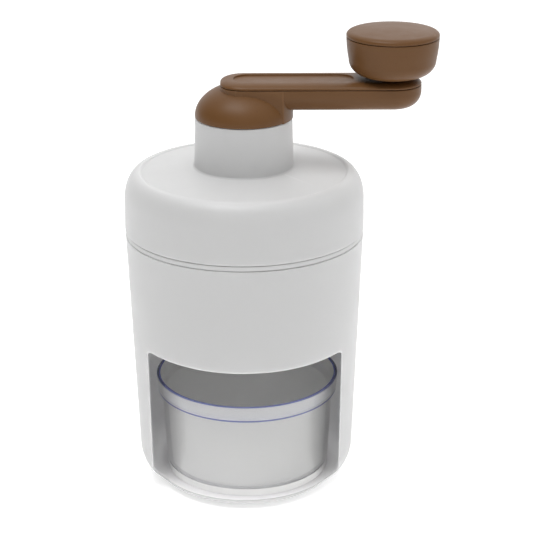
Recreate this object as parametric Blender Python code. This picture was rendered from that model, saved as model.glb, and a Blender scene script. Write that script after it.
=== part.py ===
"""Hand-crank ice shaver: a round housing with a window, a clear bowl, a lid with a neck, and a crank.

All sizes below are in millimetres, and the meshes are made in metres. The origin is the middle of the
base, on the housing's axis. +Z is up, the window faces -Y and the crank's arm lies along +X.
"""

import math

import bmesh
import bpy
from mathutils import Matrix

MM = 0.001
GAP = 0.3  # between pieces that touch
OVERLAP = 1.0  # how far a joined shape runs into the one it joins
PAST = 1.0  # how far a cutter runs past the wall it cuts
UPSIDE_DOWN = 180.0

# How many sides the round pieces have
BODY_SIDES = 40
HUB_SIDES = 28
SMALL_SIDES = 12
SPIKE_SIDES = 8
ARM_CORNER_STEPS = 6
HEX = 6

# Housing
PAD_R, PAD_TOP = 31.0, 1.2
BASE_Z, BASE_FLAT_R, BASE_ROUND = 0.5, 33.9, 18.9
BODY_TOP, BODY_TOP_R, BODY_TAPER, BODY_WALL = 134.0, 59.8, 0.0385, 2.5
FLOOR_Z, FLOOR_R = 4.6, 43.0
WINDOW_LOW, WINDOW_LOW_HALF, WINDOW_LOW_ROUND = 4.75, 47.5, 8.0
WINDOW_TOP, WINDOW_TOP_HALF, WINDOW_TOP_ROUND, WINDOW_TOP_SAG = 81.3, 48.3, 2.5, 1.1

# Hopper, which holds the ice: its flange is the thin band between the housing and the lid
FLANGE_R, FLANGE_LOW, FLANGE_TOP = 59.55, 134.3, 136.7
MOUTH_R, MOUTH_WALL, MOUTH_LOW = 52.0, 2.2, 123.5
BARREL_R, BARREL_WALL = 47.8, 2.2
HOPPER_FLOOR, HOPPER_FLOOR_THICK = 87.0, 3.0
RIB_R, RIB_LOW = 56.9, 130.5

# Bayonet: three lugs on the hopper, three on the inner lid
LUG_ANGLES = (0.0, 120.0, 240.0)
LUG_INNER_R, LUG_LOW, LUG_TOP, LUG_HALF = 49.7, 130.0, 133.0, 22.0
LUG_STOP_LOW, LUG_STOP_FROM, LUG_STOP_TO = 125.5, -18.0, -11.7
LID_LUG_R, LID_LUG_TOP, LID_LUG_HALF, LID_LUG_REST = 51.4, 129.5, 14.0, 39.0

# Blade, which lies on a slope under the hopper's floor with its edge just above that floor
BLADE_EDGE_Y, BLADE_EDGE_Z, BLADE_SLOPE = -1.5, 87.4, 27.0
BLADE_FROM_X, BLADE_TO_X, BLADE_WIDTH, BLADE_THICK = -42.5, -7.5, 13.0, 1.2
BLADE_BEVEL = 2.2
THROAT_WIDTH = 6.5
CLAMP_FROM, CLAMP_THICK = 5.0, 1.5
BLADE_SCREW_X, BLADE_SCREW_Y = (-35.0, -15.0), 9.5
BLADE_HOLE_DEPTH, BLADE_POCKET_DEPTH, CLAMP_INSET = 2.4, 24.0, 0.5
BLADE_BED_X, BLADE_BED_Y, BLADE_BED_LOW = (-46.0, -4.0), (1.0, 14.0), 78.0

# Bowl, which stands a little off the axis
BOWL_X = 0.7
BOWL_FOOT_Z, BOWL_LOW, BOWL_INNER_LOW = 4.9, 5.6, 8.0
BOWL_LOW_R, BOWL_CORNER = 41.1, 0.9
BOWL_LEDGE_Z, BOWL_LEDGE_R = 48.0, 44.3
BOWL_BAND_Z, BOWL_BAND_R = 49.6, 46.4
BOWL_RIM_Z, BOWL_RIM_R, BOWL_WALL = 57.3, 47.1, 2.2
BOWL_INNER_ROUND, BOWL_INNER_STEP = 4.0, 1.0
BOWL_FOOT_R, BOWL_FOOT_PLACE = 2.9, 32.0
BOWL_FOOT_ANGLES = (-150.0, -30.0, 90.0)

# Lid
LID_LOW, LID_R = 137.0, 60.0
LID_SIDE_TOP, LID_SIDE_R = 152.75, 59.83
LID_RIM_Z, LID_RIM_R = 166.6, 51.9
LID_CREASE_Z, LID_CREASE_R = 165.9, 51.1
LID_WALL = 2.3
NECK_FOOT_R, NECK_FOOT = 1.2, 0.9  # the sloped foot of the neck
NECK_LOW, NECK_LOW_R, NECK_TOP, NECK_TOP_R = 168.8, 24.64, 193.5, 24.02
WEB_LOW, WEB_R = 190.5, 15.0
BUSH_R, BUSH_LOW, BUSH_TOP = 14.7, 186.0, 193.4
BUSH_FLANGE_R, BUSH_FLANGE_LOW, BUSH_FLANGE_TOP = 17.5, 188.4, 190.2
SEAL_INNER_R, SEAL_R, SEAL_LOW, SEAL_TOP = 52.6, 56.4, 137.0, 138.5

# Inner lid
SKIRT_INNER_R, SKIRT_R, SKIRT_LOW = 47.0, 49.2, 126.5
INNER_FLANGE_R, INNER_FLANGE_LOW, INNER_FLANGE_TOP = 56.9, 138.8, 140.8
INNER_DISC_LOW, INNER_DISC_TOP = 141.0, 143.0
GUIDE_R, GUIDE_TOP = 15.0, 163.0
LID_SCREW_PLACE, LID_SCREW_ANGLES = 38.0, (30.0, 150.0, 270.0)
LID_BOSS_R, LID_BOSS_TOP, LID_BOSS_HOLE_TOP = 3.6, 165.2, 157.0

# Crank
HUB_LOW, HUB_R, DOME_HEIGHT, DOME_TOP = 193.8, 24.1, 16.9, 209.5
HUB_WALL, HUB_CEILING, HUB_CEILING_R = 2.5, 203.5, 18.0
HUB_HOLLOW_BEND_Z = 195.0
BLOCK_HALF, BLOCK_R, BLOCK_LEFT_X, BLOCK_TOP = 14.7, 24.4, -4.0, 209.8
ARM_HALF, ARM_FLAT, ARM_LEFT_X = 14.5, 3.0, 0.1
ARM_LOW, ARM_TOP, ARM_ROUND, ARM_WALL = 198.9, 210.05, 8.0, 2.2
TRAY_SHALLOW, TRAY_DEEP, TRAY_DEEP_X = 207.0, 201.1, 37.5
COVER_LOW, COVER_TOP, COVER_CROWN, COVER_PLUG_LOW, COVER_PLUG_INSET = 210.35, 213.0, 6.0, 208.2, 2.5
RECESS_FROM_X, RECESS_TO_X, RECESS_HALF, RECESS_DEPTH = 2.8, 46.0, 7.95, 0.9
SLEEVE_R, SLEEVE_LOW, SLEEVE_TOP = 12.0, 150.0, 203.2
SLEEVE_HEAD_R, SLEEVE_HEAD_LOW, SLEEVE_BORE_R = 17.6, 196.0, 9.7
SLEEVE_GUIDE_TOP = 158.0
GROOVE_LOW, GROOVE_TOP, GROOVE_R = 184.0, 185.7, 11.0
RING_INNER_R, RING_R, RING_HALF_GAP = 11.25, 14.4, 28.0
HUB_SCREW_PLACE, HUB_SCREW_ANGLES = 14.8, (90.0, 210.0, 330.0)

# Pusher
SHAFT_FLATS, SHAFT_LOW, COLLAR_LOW, COLLAR_TOP, COLLAR_R = 14.0, 96.3, 158.3, 162.0, 9.4
SHAFT_BORE_R, SHAFT_BORE_LOW = 5.2, 104.0
HEX_FLATS = 14.6
PLATE_R, PLATE_LOW, PLATE_TOP, PLATE_BOSS_R, PLATE_BOSS_TOP = 44.5, 93.0, 96.0, 11.6, 101.0
SPIKE_R, SPIKE_TIP_R, SPIKE_LOW = 1.8, 0.4, 88.0
SPIKE_ROWS = ((39.0, 6, 0.0), (26.0, 4, 20.0))  # distance from the axis, how many, first angle
SPRING_R, SPRING_WIRE, SPRING_TURNS, SPRING_STEPS = 4.2, 0.45, 16, 10
SPRING_LOW, SPRING_TOP = 104.3, 203.2

# Knob
KNOB_X = 72.7
PIN_R, PIN_FLANGE_R, PIN_LOW, PIN_FLANGE_TOP, PIN_TOP = 4.0, 6.5, 201.4, 203.4, 228.0
KNOB_LOW, KNOB_FLAT_R, KNOB_BELLY_Z, KNOB_BELLY_R = 214.3, 11.5, 222.5, 21.4
KNOB_SEAM, KNOB_SEAM_R, KNOB_TOP = 233.6, 22.66, 237.5
KNOB_BOSS_R, KNOB_BOSS_TOP, KNOB_WALL = 7.2, 227.6, 2.4
KNOB_INNER_TAPER = 1.2
CAP_FLAT_R, CAP_FLAT_DROP, CAP_SHOULDER_R, CAP_SHOULDER_Z, CAP_CROWN = 12.5, 0.18, 19.6, 234.4, 0.75
CAP_PLUG_LOW, CAP_PLUG_WALL, CAP_CEILING_EDGE, CAP_CEILING = 231.4, 1.6, 234.9, 235.5
WASHER_HOLE_R, WASHER_R, WASHER_LOW, WASHER_TOP = 1.6, 7.0, 228.3, 229.3
PIN_HOLE_DEPTH, PIN_RECESS_R, PIN_RECESS_DEPTH = 9.0, 3.2, 1.0

# Screws: head radius, head height, shank radius and shank length; then the holes they go through
BLADE_SCREW = (2.6, 1.5, 1.3, 5.3)
LID_SCREW = (3.0, 1.6, 1.2, 13.0)
HUB_SCREW = (2.2, 1.5, 1.2, 8.9)
PUSHER_SCREW = (3.2, 1.8, 1.5, 9.0)
PIN_SCREW = (2.8, 0.65, 1.2, 10.0)
KNOB_SCREW = (3.0, 1.6, 1.2, 9.0)
SMALL_HOLE_R, HOLE_R, BLADE_HOLE_R, PUSHER_HOLE_R = 1.5, 1.6, 1.7, 1.8

# Colour, roughness and metallic value of each finish
FINISHES = {
    "white_plastic": ((0.79, 0.79, 0.80), 0.42, 0.0),
    "inner_plastic": ((0.74, 0.74, 0.76), 0.50, 0.0),
    "brown_plastic": ((0.28, 0.155, 0.075), 0.48, 0.0),
    "clear_plastic": ((0.90, 0.91, 0.96), 0.06, 0.0),
    "nylon": ((0.66, 0.64, 0.58), 0.45, 0.0),
    "rubber": ((0.30, 0.30, 0.31), 0.75, 0.0),
    "steel": ((0.62, 0.62, 0.64), 0.28, 1.0),
}


# ---------------------------------------------------------------- tools


def clear_scene():
    for item in list(bpy.data.objects):
        bpy.data.objects.remove(item, do_unlink=True)


def finish_material(name, finish):
    colour, roughness, metallic = FINISHES[finish]
    material = bpy.data.materials.new(name)
    material.use_nodes = True
    shader = material.node_tree.nodes["Principled BSDF"]
    shader.inputs["Base Color"].default_value = (*colour, 1.0)
    shader.inputs["Roughness"].default_value = roughness
    shader.inputs["Metallic"].default_value = metallic
    if finish == "clear_plastic":
        shader.inputs["Transmission Weight"].default_value = 0.9
    return material


def add_object(name, bm, place=None):
    """Makes an object of a mesh in millimetres; place is a matrix in millimetres too."""
    bmesh.ops.recalc_face_normals(bm, faces=bm.faces)
    bmesh.ops.transform(bm, matrix=Matrix.Scale(MM, 4) @ (place or Matrix()), verts=bm.verts)
    mesh = bpy.data.meshes.new(name)
    bm.to_mesh(mesh)
    bm.free()
    mesh.shade_smooth()
    mesh.set_sharp_from_angle(angle=math.radians(30.0))
    item = bpy.data.objects.new(name, mesh)
    bpy.context.collection.objects.link(item)
    return item


def add_piece(name, bm, finish, axis=None, place=None):
    """A sub-part; axis is the empty on the joint axis of the body that it moves with."""
    piece = add_object(name, bm, place)
    piece.data.materials.append(finish_material(name, finish))
    if axis:
        piece.parent = axis
        piece.location = -axis.location
    return piece


def add_tool(name, bm, place=None):
    """A shape that only cuts or joins another."""
    tool = add_object(name, bm, place)
    tool.hide_render = True
    tool.display_type = "WIRE"
    return tool


def combine(piece, operation, *tools):
    for tool in tools:
        modifier = piece.modifiers.new(tool.name, "BOOLEAN")
        modifier.operation = operation
        modifier.solver = "EXACT"
        modifier.object = tool


def add_axis(name, x, y, z):
    axis = bpy.data.objects.new(name, None)
    axis.empty_display_size = 10.0 * MM
    axis.location = (x * MM, y * MM, z * MM)
    bpy.context.collection.objects.link(axis)
    return axis


def arc(r, z, radial, vertical, start, end, steps):
    """Points on a quarter or more of an ellipse around (r, z), angles in degrees."""
    angles = [math.radians(start + (end - start) * step / steps) for step in range(steps + 1)]
    return [(r + radial * math.cos(a), z + vertical * math.sin(a)) for a in angles]


def turned(profile, sides, x=0.0, y=0.0):
    """A closed profile of (r, z) points turned around a vertical axis at x, y."""
    bm = bmesh.new()
    rings = []
    for r, z in profile:
        count = sides if r > 0 else 1
        angles = [2.0 * math.pi * step / sides for step in range(count)]
        rings.append([bm.verts.new((x + r * math.cos(a), y + r * math.sin(a), z)) for a in angles])
    for ring, following in zip(rings, rings[1:] + rings[:1]):
        for step in range(sides):
            corners = []
            for loop, index in ((ring, step), (ring, step + 1), (following, step + 1), (following, step)):
                vertex = loop[index % len(loop)]
                if vertex not in corners:
                    corners.append(vertex)
            if len(corners) > 2:
                bm.faces.new(corners)
    return bm


def loft(levels):
    """Joins outlines of equal length, each given with its height, and caps both ends."""
    bm = bmesh.new()
    loops = [[bm.verts.new((x, y, z)) for x, y in outline] for outline, z in levels]
    for loop, following in zip(loops, loops[1:]):
        for index in range(len(loop)):
            ahead = (index + 1) % len(loop)
            bm.faces.new((loop[index], loop[ahead], following[ahead], following[index]))
    bm.faces.new(loops[0])
    bm.faces.new(loops[-1])
    return bm


def prism(outline, low, high):
    return loft([(outline, low), (outline, high)])


def rectangle(x_from, x_to, y_from, y_to):
    return [(x_from, y_from), (x_to, y_from), (x_to, y_to), (x_from, y_to)]


def circle(radius, sides, x=0.0, y=0.0):
    angles = [2.0 * math.pi * step / sides for step in range(sides)]
    return [(x + radius * math.cos(a), y + radius * math.sin(a)) for a in angles]


def hexagon(flats):
    return circle(flats / 2.0 / math.cos(math.pi / HEX), HEX)


def stadium(x_from, x_to, half, steps=10):
    """A slot's outline, with the centres of its round ends at x_from and x_to."""
    right = arc(x_to, 0.0, half, half, -90.0, 90.0, steps)
    left = arc(x_from, 0.0, half, half, 90.0, 270.0, steps)
    return right + left


def arm_outline(inset, x_from=ARM_LEFT_X):
    """The arm seen from above: a round end under the knob, and a flatter end on the hub."""
    half, corner = ARM_HALF - inset, ARM_HALF - ARM_FLAT - inset
    right = arc(KNOB_X, 0.0, half, half, -90.0, 90.0, 2 * ARM_CORNER_STEPS)
    left = arc(x_from, ARM_FLAT, corner, corner, 90.0, 180.0, ARM_CORNER_STEPS)
    left += arc(x_from, -ARM_FLAT, corner, corner, 180.0, 270.0, ARM_CORNER_STEPS)
    return right + left


def sector(inner, outer, start, end, steps):
    """A piece of a ring, between two angles in degrees."""
    return arc(0.0, 0.0, outer, outer, start, end, steps) + arc(0.0, 0.0, inner, inner, end, start, steps)


def gathered(*meshes):
    """Several separate shapes in one mesh, for a tool."""
    whole = bmesh.new()
    for bm in meshes:
        part = bpy.data.meshes.new("part")
        bm.to_mesh(part)
        bm.free()
        whole.from_mesh(part)
        bpy.data.meshes.remove(part)
    return whole


def around(place, angle):
    return place * math.cos(math.radians(angle)), place * math.sin(math.radians(angle))


def screw_mesh(head_r, head, shank_r, length):
    """A screw along Z: its head's underside is at 0, the head above and the shank below."""
    profile = [
        (0.0, head * 0.4),
        (head_r * 0.4, head),
        (head_r * 0.85, head),
        (head_r, head * 0.6),
        (head_r, 0.0),
        (shank_r, 0.0),
        (shank_r, 1.0 - length),
        (0.0, -length),
    ]
    return turned(profile, SMALL_SIDES)


def screw_hole(radius, x, y, low, high):
    return prism(circle(radius, SMALL_SIDES, x, y), low, high)


def placed(x, y, z, turn=0.0):
    """Moves to x, y, z after a turn about X in degrees."""
    return Matrix.Translation((x, y, z)) @ Matrix.Rotation(math.radians(turn), 4, "X")


# ---------------------------------------------------------------- housing


def body_radius(z):
    return BODY_TOP_R - BODY_TAPER * (BODY_TOP - z)


def make_body_shell():
    round_top = BASE_Z + BASE_ROUND
    side_r = body_radius(round_top)
    inner_r = side_r - BODY_WALL
    profile = [(0.0, PAD_TOP + GAP), (PAD_R + GAP, PAD_TOP + GAP), (PAD_R + GAP, BASE_Z)]
    profile += arc(BASE_FLAT_R, round_top, side_r - BASE_FLAT_R, BASE_ROUND, -90.0, 0.0, 7)
    profile += [(BODY_TOP_R, BODY_TOP), (BODY_TOP_R - BODY_WALL, BODY_TOP)]
    profile += arc(FLOOR_R, round_top, inner_r - FLOOR_R, round_top - FLOOR_Z, 0.0, -90.0, 5)
    profile += [(0.0, FLOOR_Z)]
    shell = add_piece("body_shell", turned(profile, BODY_SIDES), "white_plastic")
    combine(shell, "DIFFERENCE", add_tool("window_cut", window_mesh()))


def window_mesh():
    """The window's outline in X and Z, with rounded corners, made along -Y through the front wall."""
    corners = (
        (WINDOW_LOW_HALF, WINDOW_LOW, WINDOW_LOW_ROUND, -90.0),
        (WINDOW_TOP_HALF, WINDOW_TOP, WINDOW_TOP_ROUND, 0.0),
        (-WINDOW_TOP_HALF, WINDOW_TOP, WINDOW_TOP_ROUND, 90.0),
        (-WINDOW_LOW_HALF, WINDOW_LOW, WINDOW_LOW_ROUND, 180.0),
    )
    ends = []
    for x, z, rounding, start in corners:
        x_centre = x - math.copysign(rounding, x)
        z_centre = z + rounding if z == WINDOW_LOW else z - rounding
        ends.append(arc(x_centre, z_centre, rounding, rounding, start, start + 90.0, 4))
    top_half = WINDOW_TOP_HALF - WINDOW_TOP_ROUND
    top = []
    for share in (0.6, 0.3, 0.0, -0.3, -0.6):
        top.append((top_half * share, WINDOW_TOP - WINDOW_TOP_SAG * (1.0 - share * share)))
    outline = ends[0] + ends[1] + top + ends[2] + ends[3]
    inside = -15.0
    bm = prism(outline, inside, -BODY_TOP_R - PAST)
    swap = Matrix(((1, 0, 0, 0), (0, 0, 1, 0), (0, 1, 0, 0), (0, 0, 0, 1)))
    bmesh.ops.transform(bm, matrix=swap, verts=bm.verts)
    return bm


def make_base_pad():
    bevel = 0.4
    profile = [(0.0, 0.0), (PAD_R - bevel, 0.0), (PAD_R, bevel), (PAD_R, PAD_TOP), (0.0, PAD_TOP)]
    add_piece("base_pad", turned(profile, BODY_SIDES), "rubber")


def blade_place():
    return placed(0.0, BLADE_EDGE_Y, BLADE_EDGE_Z, -BLADE_SLOPE)


def make_hopper():
    barrel_out, mouth_out = BARREL_R + BARREL_WALL, MOUTH_R + MOUTH_WALL
    profile = [
        (0.0, HOPPER_FLOOR),
        (BARREL_R, HOPPER_FLOOR),
        (BARREL_R, MOUTH_LOW),
        (MOUTH_R, MOUTH_LOW),
        (MOUTH_R, FLANGE_TOP),
        (FLANGE_R, FLANGE_TOP),
        (FLANGE_R, FLANGE_LOW),
        (RIB_R, FLANGE_LOW),
        (RIB_R, RIB_LOW),
        (mouth_out, RIB_LOW),
        (mouth_out, MOUTH_LOW - MOUTH_WALL),
        (barrel_out, MOUTH_LOW - MOUTH_WALL),
        (barrel_out, HOPPER_FLOOR - HOPPER_FLOOR_THICK),
        (0.0, HOPPER_FLOOR - HOPPER_FLOOR_THICK),
    ]
    hopper = add_piece("hopper", turned(profile, BODY_SIDES), "inner_plastic")
    into_wall, stop_inset = MOUTH_R + OVERLAP, 0.2
    lugs = []
    for angle in LUG_ANGLES:
        lug = sector(LUG_INNER_R, into_wall, angle - LUG_HALF, angle + LUG_HALF, 6)
        lugs.append(prism(lug, LUG_LOW, LUG_TOP))
    stops = []
    for angle in LUG_ANGLES:
        stop = sector(LUG_INNER_R, into_wall - stop_inset, angle + LUG_STOP_FROM, angle + LUG_STOP_TO, 2)
        stops.append(prism(stop, LUG_STOP_LOW, LUG_LOW + OVERLAP))
    bed = prism(rectangle(*BLADE_BED_X, *BLADE_BED_Y), BLADE_BED_LOW, HOPPER_FLOOR - OVERLAP)
    combine(
        hopper,
        "UNION",
        add_tool("hopper_lugs", gathered(*lugs)),
        add_tool("hopper_lug_stops", gathered(*stops)),
        add_tool("blade_bed", bed),
    )
    pocket = rectangle(BLADE_FROM_X - GAP, BLADE_TO_X + GAP, -THROAT_WIDTH, BLADE_WIDTH + 2.0 * GAP)
    holes = [screw_hole(HOLE_R, x, BLADE_SCREW_Y, -PAST, BLADE_HOLE_DEPTH) for x in BLADE_SCREW_X]
    combine(
        hopper,
        "DIFFERENCE",
        add_tool("blade_pocket", prism(pocket, -BLADE_POCKET_DEPTH, GAP), blade_place()),
        add_tool("blade_screw_holes", gathered(*holes), blade_place()),
    )


def make_blade():
    """The blade's top face holds the cutting edge at y = 0, and its underside is ground back to it."""
    bm = bmesh.new()
    section = ((0.0, 0.0), (BLADE_WIDTH, 0.0), (BLADE_WIDTH, -BLADE_THICK), (BLADE_BEVEL, -BLADE_THICK))
    ends = [[bm.verts.new((x, y, z)) for y, z in section] for x in (BLADE_FROM_X, BLADE_TO_X)]
    for index in range(len(section)):
        ahead = (index + 1) % len(section)
        bm.faces.new((ends[0][index], ends[0][ahead], ends[1][ahead], ends[1][index]))
    for end in ends:
        bm.faces.new(end)
    blade = add_piece("blade", bm, "steel", place=blade_place())
    clamp_low = -BLADE_THICK - GAP - CLAMP_THICK
    outline = rectangle(BLADE_FROM_X + CLAMP_INSET, BLADE_TO_X - CLAMP_INSET, CLAMP_FROM, BLADE_WIDTH)
    clamp = add_piece(
        "blade_clamp", prism(outline, clamp_low, clamp_low + CLAMP_THICK), "steel", place=blade_place()
    )
    for piece in (blade, clamp):
        holes = [screw_hole(BLADE_HOLE_R, x, BLADE_SCREW_Y, clamp_low - PAST, PAST) for x in BLADE_SCREW_X]
        combine(piece, "DIFFERENCE", add_tool(piece.name + "_holes", gathered(*holes), blade_place()))
    for number, x in enumerate(BLADE_SCREW_X, 1):
        place = blade_place() @ placed(x, BLADE_SCREW_Y, clamp_low - GAP, UPSIDE_DOWN)
        add_piece(f"blade_screw_{number}", screw_mesh(*BLADE_SCREW), "steel", place=place)


# ---------------------------------------------------------------- bowl


def make_bowl(axis):
    wall = BOWL_WALL
    corner_r, corner_z = BOWL_LOW_R, BOWL_LOW + BOWL_CORNER
    outer = arc(corner_r, corner_z, BOWL_CORNER, BOWL_CORNER, -90.0, 0.0, 3)
    outer += [(BOWL_LEDGE_R, BOWL_LEDGE_Z), (BOWL_BAND_R, BOWL_BAND_Z), (BOWL_RIM_R, BOWL_RIM_Z)]
    inner = [(BOWL_RIM_R - wall, BOWL_RIM_Z), (BOWL_BAND_R - wall, BOWL_BAND_Z + BOWL_INNER_STEP)]
    inner += [(BOWL_LEDGE_R - wall, BOWL_LEDGE_Z)]
    inner_round = BOWL_INNER_ROUND
    inner_r = corner_r + BOWL_CORNER - wall - inner_round
    inner += arc(inner_r, BOWL_INNER_LOW + inner_round, inner_round, inner_round, 0.0, -90.0, 3)
    profile = [(0.0, BOWL_LOW)] + outer + inner + [(0.0, BOWL_INNER_LOW)]
    bowl = add_piece("bowl", turned(profile, BODY_SIDES, BOWL_X), "clear_plastic", axis)
    feet = []
    for angle in BOWL_FOOT_ANGLES:
        x, y = around(BOWL_FOOT_PLACE, angle)
        foot = circle(BOWL_FOOT_R, SMALL_SIDES, BOWL_X + x, y)
        feet.append(prism(foot, BOWL_FOOT_Z, BOWL_LOW + OVERLAP))
    combine(bowl, "UNION", add_tool("bowl_feet", gathered(*feet)))


# ---------------------------------------------------------------- lid


def make_lid_seal(axis):
    profile = [(SEAL_INNER_R, SEAL_LOW), (SEAL_R, SEAL_LOW), (SEAL_R, SEAL_TOP), (SEAL_INNER_R, SEAL_TOP)]
    add_piece("lid_seal", turned(profile, BODY_SIDES), "rubber", axis)


def make_lid_shell(axis):
    shoulder_r, shoulder_z = LID_SIDE_R - LID_RIM_R, LID_RIM_Z - LID_SIDE_TOP
    inner_step = 1.6
    profile = [(LID_R, LID_LOW)]
    profile += arc(LID_RIM_R, LID_SIDE_TOP, shoulder_r, shoulder_z, 0.0, 90.0, 6)
    profile += [
        (LID_CREASE_R, LID_CREASE_Z),
        (NECK_LOW_R + NECK_FOOT_R, NECK_LOW),
        (NECK_LOW_R, NECK_LOW + NECK_FOOT),
        (NECK_TOP_R, NECK_TOP),
        (WEB_R, NECK_TOP),
        (WEB_R, WEB_LOW),
        (NECK_TOP_R - LID_WALL, WEB_LOW),
        (NECK_LOW_R - LID_WALL, NECK_LOW - LID_WALL),
        (LID_CREASE_R - inner_step, LID_CREASE_Z - LID_WALL),
    ]
    inner_r, inner_drop = LID_RIM_R - 1.0, 3.6
    profile += arc(
        inner_r, LID_SIDE_TOP, LID_SIDE_R - LID_WALL - inner_r, shoulder_z - inner_drop, 80.0, 0.0, 3
    )
    profile += [(LID_R - LID_WALL, LID_LOW)]
    lid = add_piece("lid_shell", turned(profile, BODY_SIDES), "white_plastic", axis)
    bosses, holes = [], []
    for angle in LID_SCREW_ANGLES:
        x, y = around(LID_SCREW_PLACE, angle)
        bosses.append(prism(circle(LID_BOSS_R, SMALL_SIDES, x, y), INNER_DISC_TOP + GAP, LID_BOSS_TOP))
        holes.append(screw_hole(SMALL_HOLE_R, x, y, INNER_DISC_TOP - PAST, LID_BOSS_HOLE_TOP))
    combine(lid, "UNION", add_tool("lid_bosses", gathered(*bosses)))
    combine(lid, "DIFFERENCE", add_tool("lid_boss_holes", gathered(*holes)))


def make_inner_lid(axis):
    bore_r = SLEEVE_R + GAP + 0.1
    profile = [
        (bore_r, INNER_DISC_LOW),
        (SKIRT_INNER_R, INNER_DISC_LOW),
        (SKIRT_INNER_R, SKIRT_LOW),
        (SKIRT_R, SKIRT_LOW),
        (SKIRT_R, INNER_FLANGE_LOW),
        (INNER_FLANGE_R, INNER_FLANGE_LOW),
        (INNER_FLANGE_R, INNER_FLANGE_TOP),
        (SKIRT_R, INNER_FLANGE_TOP),
        (SKIRT_R, INNER_DISC_TOP),
        (GUIDE_R, INNER_DISC_TOP),
        (GUIDE_R, GUIDE_TOP),
        (bore_r, GUIDE_TOP),
    ]
    inner = add_piece("inner_lid", turned(profile, BODY_SIDES), "inner_plastic", axis)
    lugs = []
    for angle in LUG_ANGLES:
        middle = angle + LID_LUG_REST
        lug = sector(SKIRT_R - OVERLAP, LID_LUG_R, middle - LID_LUG_HALF, middle + LID_LUG_HALF, 4)
        lugs.append(prism(lug, SKIRT_LOW, LID_LUG_TOP))
    combine(inner, "UNION", add_tool("inner_lid_lugs", gathered(*lugs)))
    holes = []
    for angle in LID_SCREW_ANGLES:
        x, y = around(LID_SCREW_PLACE, angle)
        holes.append(screw_hole(HOLE_R, x, y, INNER_DISC_LOW - PAST, INNER_DISC_TOP + PAST))
    combine(inner, "DIFFERENCE", add_tool("inner_lid_holes", gathered(*holes)))
    for number, angle in enumerate(LID_SCREW_ANGLES, 1):
        x, y = around(LID_SCREW_PLACE, angle)
        place = placed(x, y, INNER_DISC_LOW - GAP, UPSIDE_DOWN)
        add_piece(f"lid_screw_{number}", screw_mesh(*LID_SCREW), "steel", axis, place)


def make_neck_bush(axis):
    bore_r = SLEEVE_R + GAP
    profile = [
        (bore_r, BUSH_LOW),
        (BUSH_R, BUSH_LOW),
        (BUSH_R, BUSH_FLANGE_LOW),
        (BUSH_FLANGE_R, BUSH_FLANGE_LOW),
        (BUSH_FLANGE_R, BUSH_FLANGE_TOP),
        (BUSH_R, BUSH_FLANGE_TOP),
        (BUSH_R, BUSH_TOP),
        (bore_r, BUSH_TOP),
    ]
    add_piece("neck_bush", turned(profile, HUB_SIDES), "nylon", axis)


# ---------------------------------------------------------------- crank


def arm_mesh(wall, low, top, rounding, x_from):
    """The arm's outside, or with a wall the hollow inside it, with its lower edge rounded."""
    levels = []
    for run, height in arc(0.0, 0.0, rounding, rounding, 90.0, 0.0, 4):
        levels.append((arm_outline(wall + rounding - run, x_from), low + rounding - height))
    levels.append((arm_outline(wall, x_from), top))
    return loft(levels)


def make_crank_arm(axis):
    below = HUB_LOW - PAST
    dome_end = math.degrees(math.asin((DOME_TOP - HUB_LOW) / DOME_HEIGHT))
    profile = [(0.0, below), (HUB_R, below)]
    profile += arc(0.0, HUB_LOW, HUB_R, DOME_HEIGHT, 0.0, dome_end, 7) + [(0.0, DOME_TOP)]
    crank = add_piece("crank_arm", turned(profile, HUB_SIDES), "brown_plastic", axis)
    corner = math.degrees(math.asin(BLOCK_HALF / BLOCK_R))
    block = arc(0.0, 0.0, BLOCK_R, BLOCK_R, -corner, corner, 9)
    block += [(BLOCK_LEFT_X, BLOCK_HALF), (BLOCK_LEFT_X, -BLOCK_HALF)]
    block_inset = 0.2
    combine(
        crank,
        "UNION",
        add_tool("arm_body", arm_mesh(0.0, ARM_LOW, ARM_TOP, ARM_ROUND, ARM_LEFT_X)),
        add_tool("hub_block", prism(block, below + block_inset, BLOCK_TOP)),
    )
    inner_r, hollow_low = HUB_R - HUB_WALL, below - 2.0 * PAST
    bend_r, bend_rise = inner_r - HUB_CEILING_R, HUB_CEILING - HUB_HOLLOW_BEND_Z
    hollow = [(0.0, hollow_low), (inner_r, hollow_low)]
    hollow += arc(HUB_CEILING_R, HUB_HOLLOW_BEND_Z, bend_r, bend_rise, 0.0, 90.0, 3)
    hollow += [(0.0, HUB_CEILING)]
    trim_r, inner_round = HUB_R + 5.0 * PAST, ARM_ROUND - 2.0
    trim = prism(circle(trim_r, HUB_SIDES), below - PAST, HUB_LOW)
    shallow = prism(arm_outline(ARM_WALL), TRAY_SHALLOW, ARM_TOP + PAST)
    deep = arm_mesh(ARM_WALL, TRAY_DEEP, ARM_TOP + 2.0 * PAST, inner_round, TRAY_DEEP_X)
    holes = [screw_hole(HOLE_R, KNOB_X, 0.0, ARM_LOW - PAST, TRAY_DEEP + PAST)]
    hub_hole_top = TRAY_SHALLOW - 2.0
    for angle in HUB_SCREW_ANGLES:
        place = around(HUB_SCREW_PLACE, angle)
        holes.append(screw_hole(SMALL_HOLE_R, *place, HUB_CEILING - PAST, hub_hole_top))
    head_recess = screw_hole(PIN_RECESS_R, KNOB_X, 0.0, ARM_LOW - 2.0 * PAST, ARM_LOW + PIN_RECESS_DEPTH)
    combine(
        crank,
        "DIFFERENCE",
        add_tool("hub_hollow", turned(hollow, HUB_SIDES)),
        add_tool("hub_trim", trim),
        add_tool("tray_shallow", shallow),
        add_tool("tray_deep", deep),
        add_tool("crank_holes", gathered(*holes)),
        add_tool("pin_screw_recess", head_recess),
    )


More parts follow.
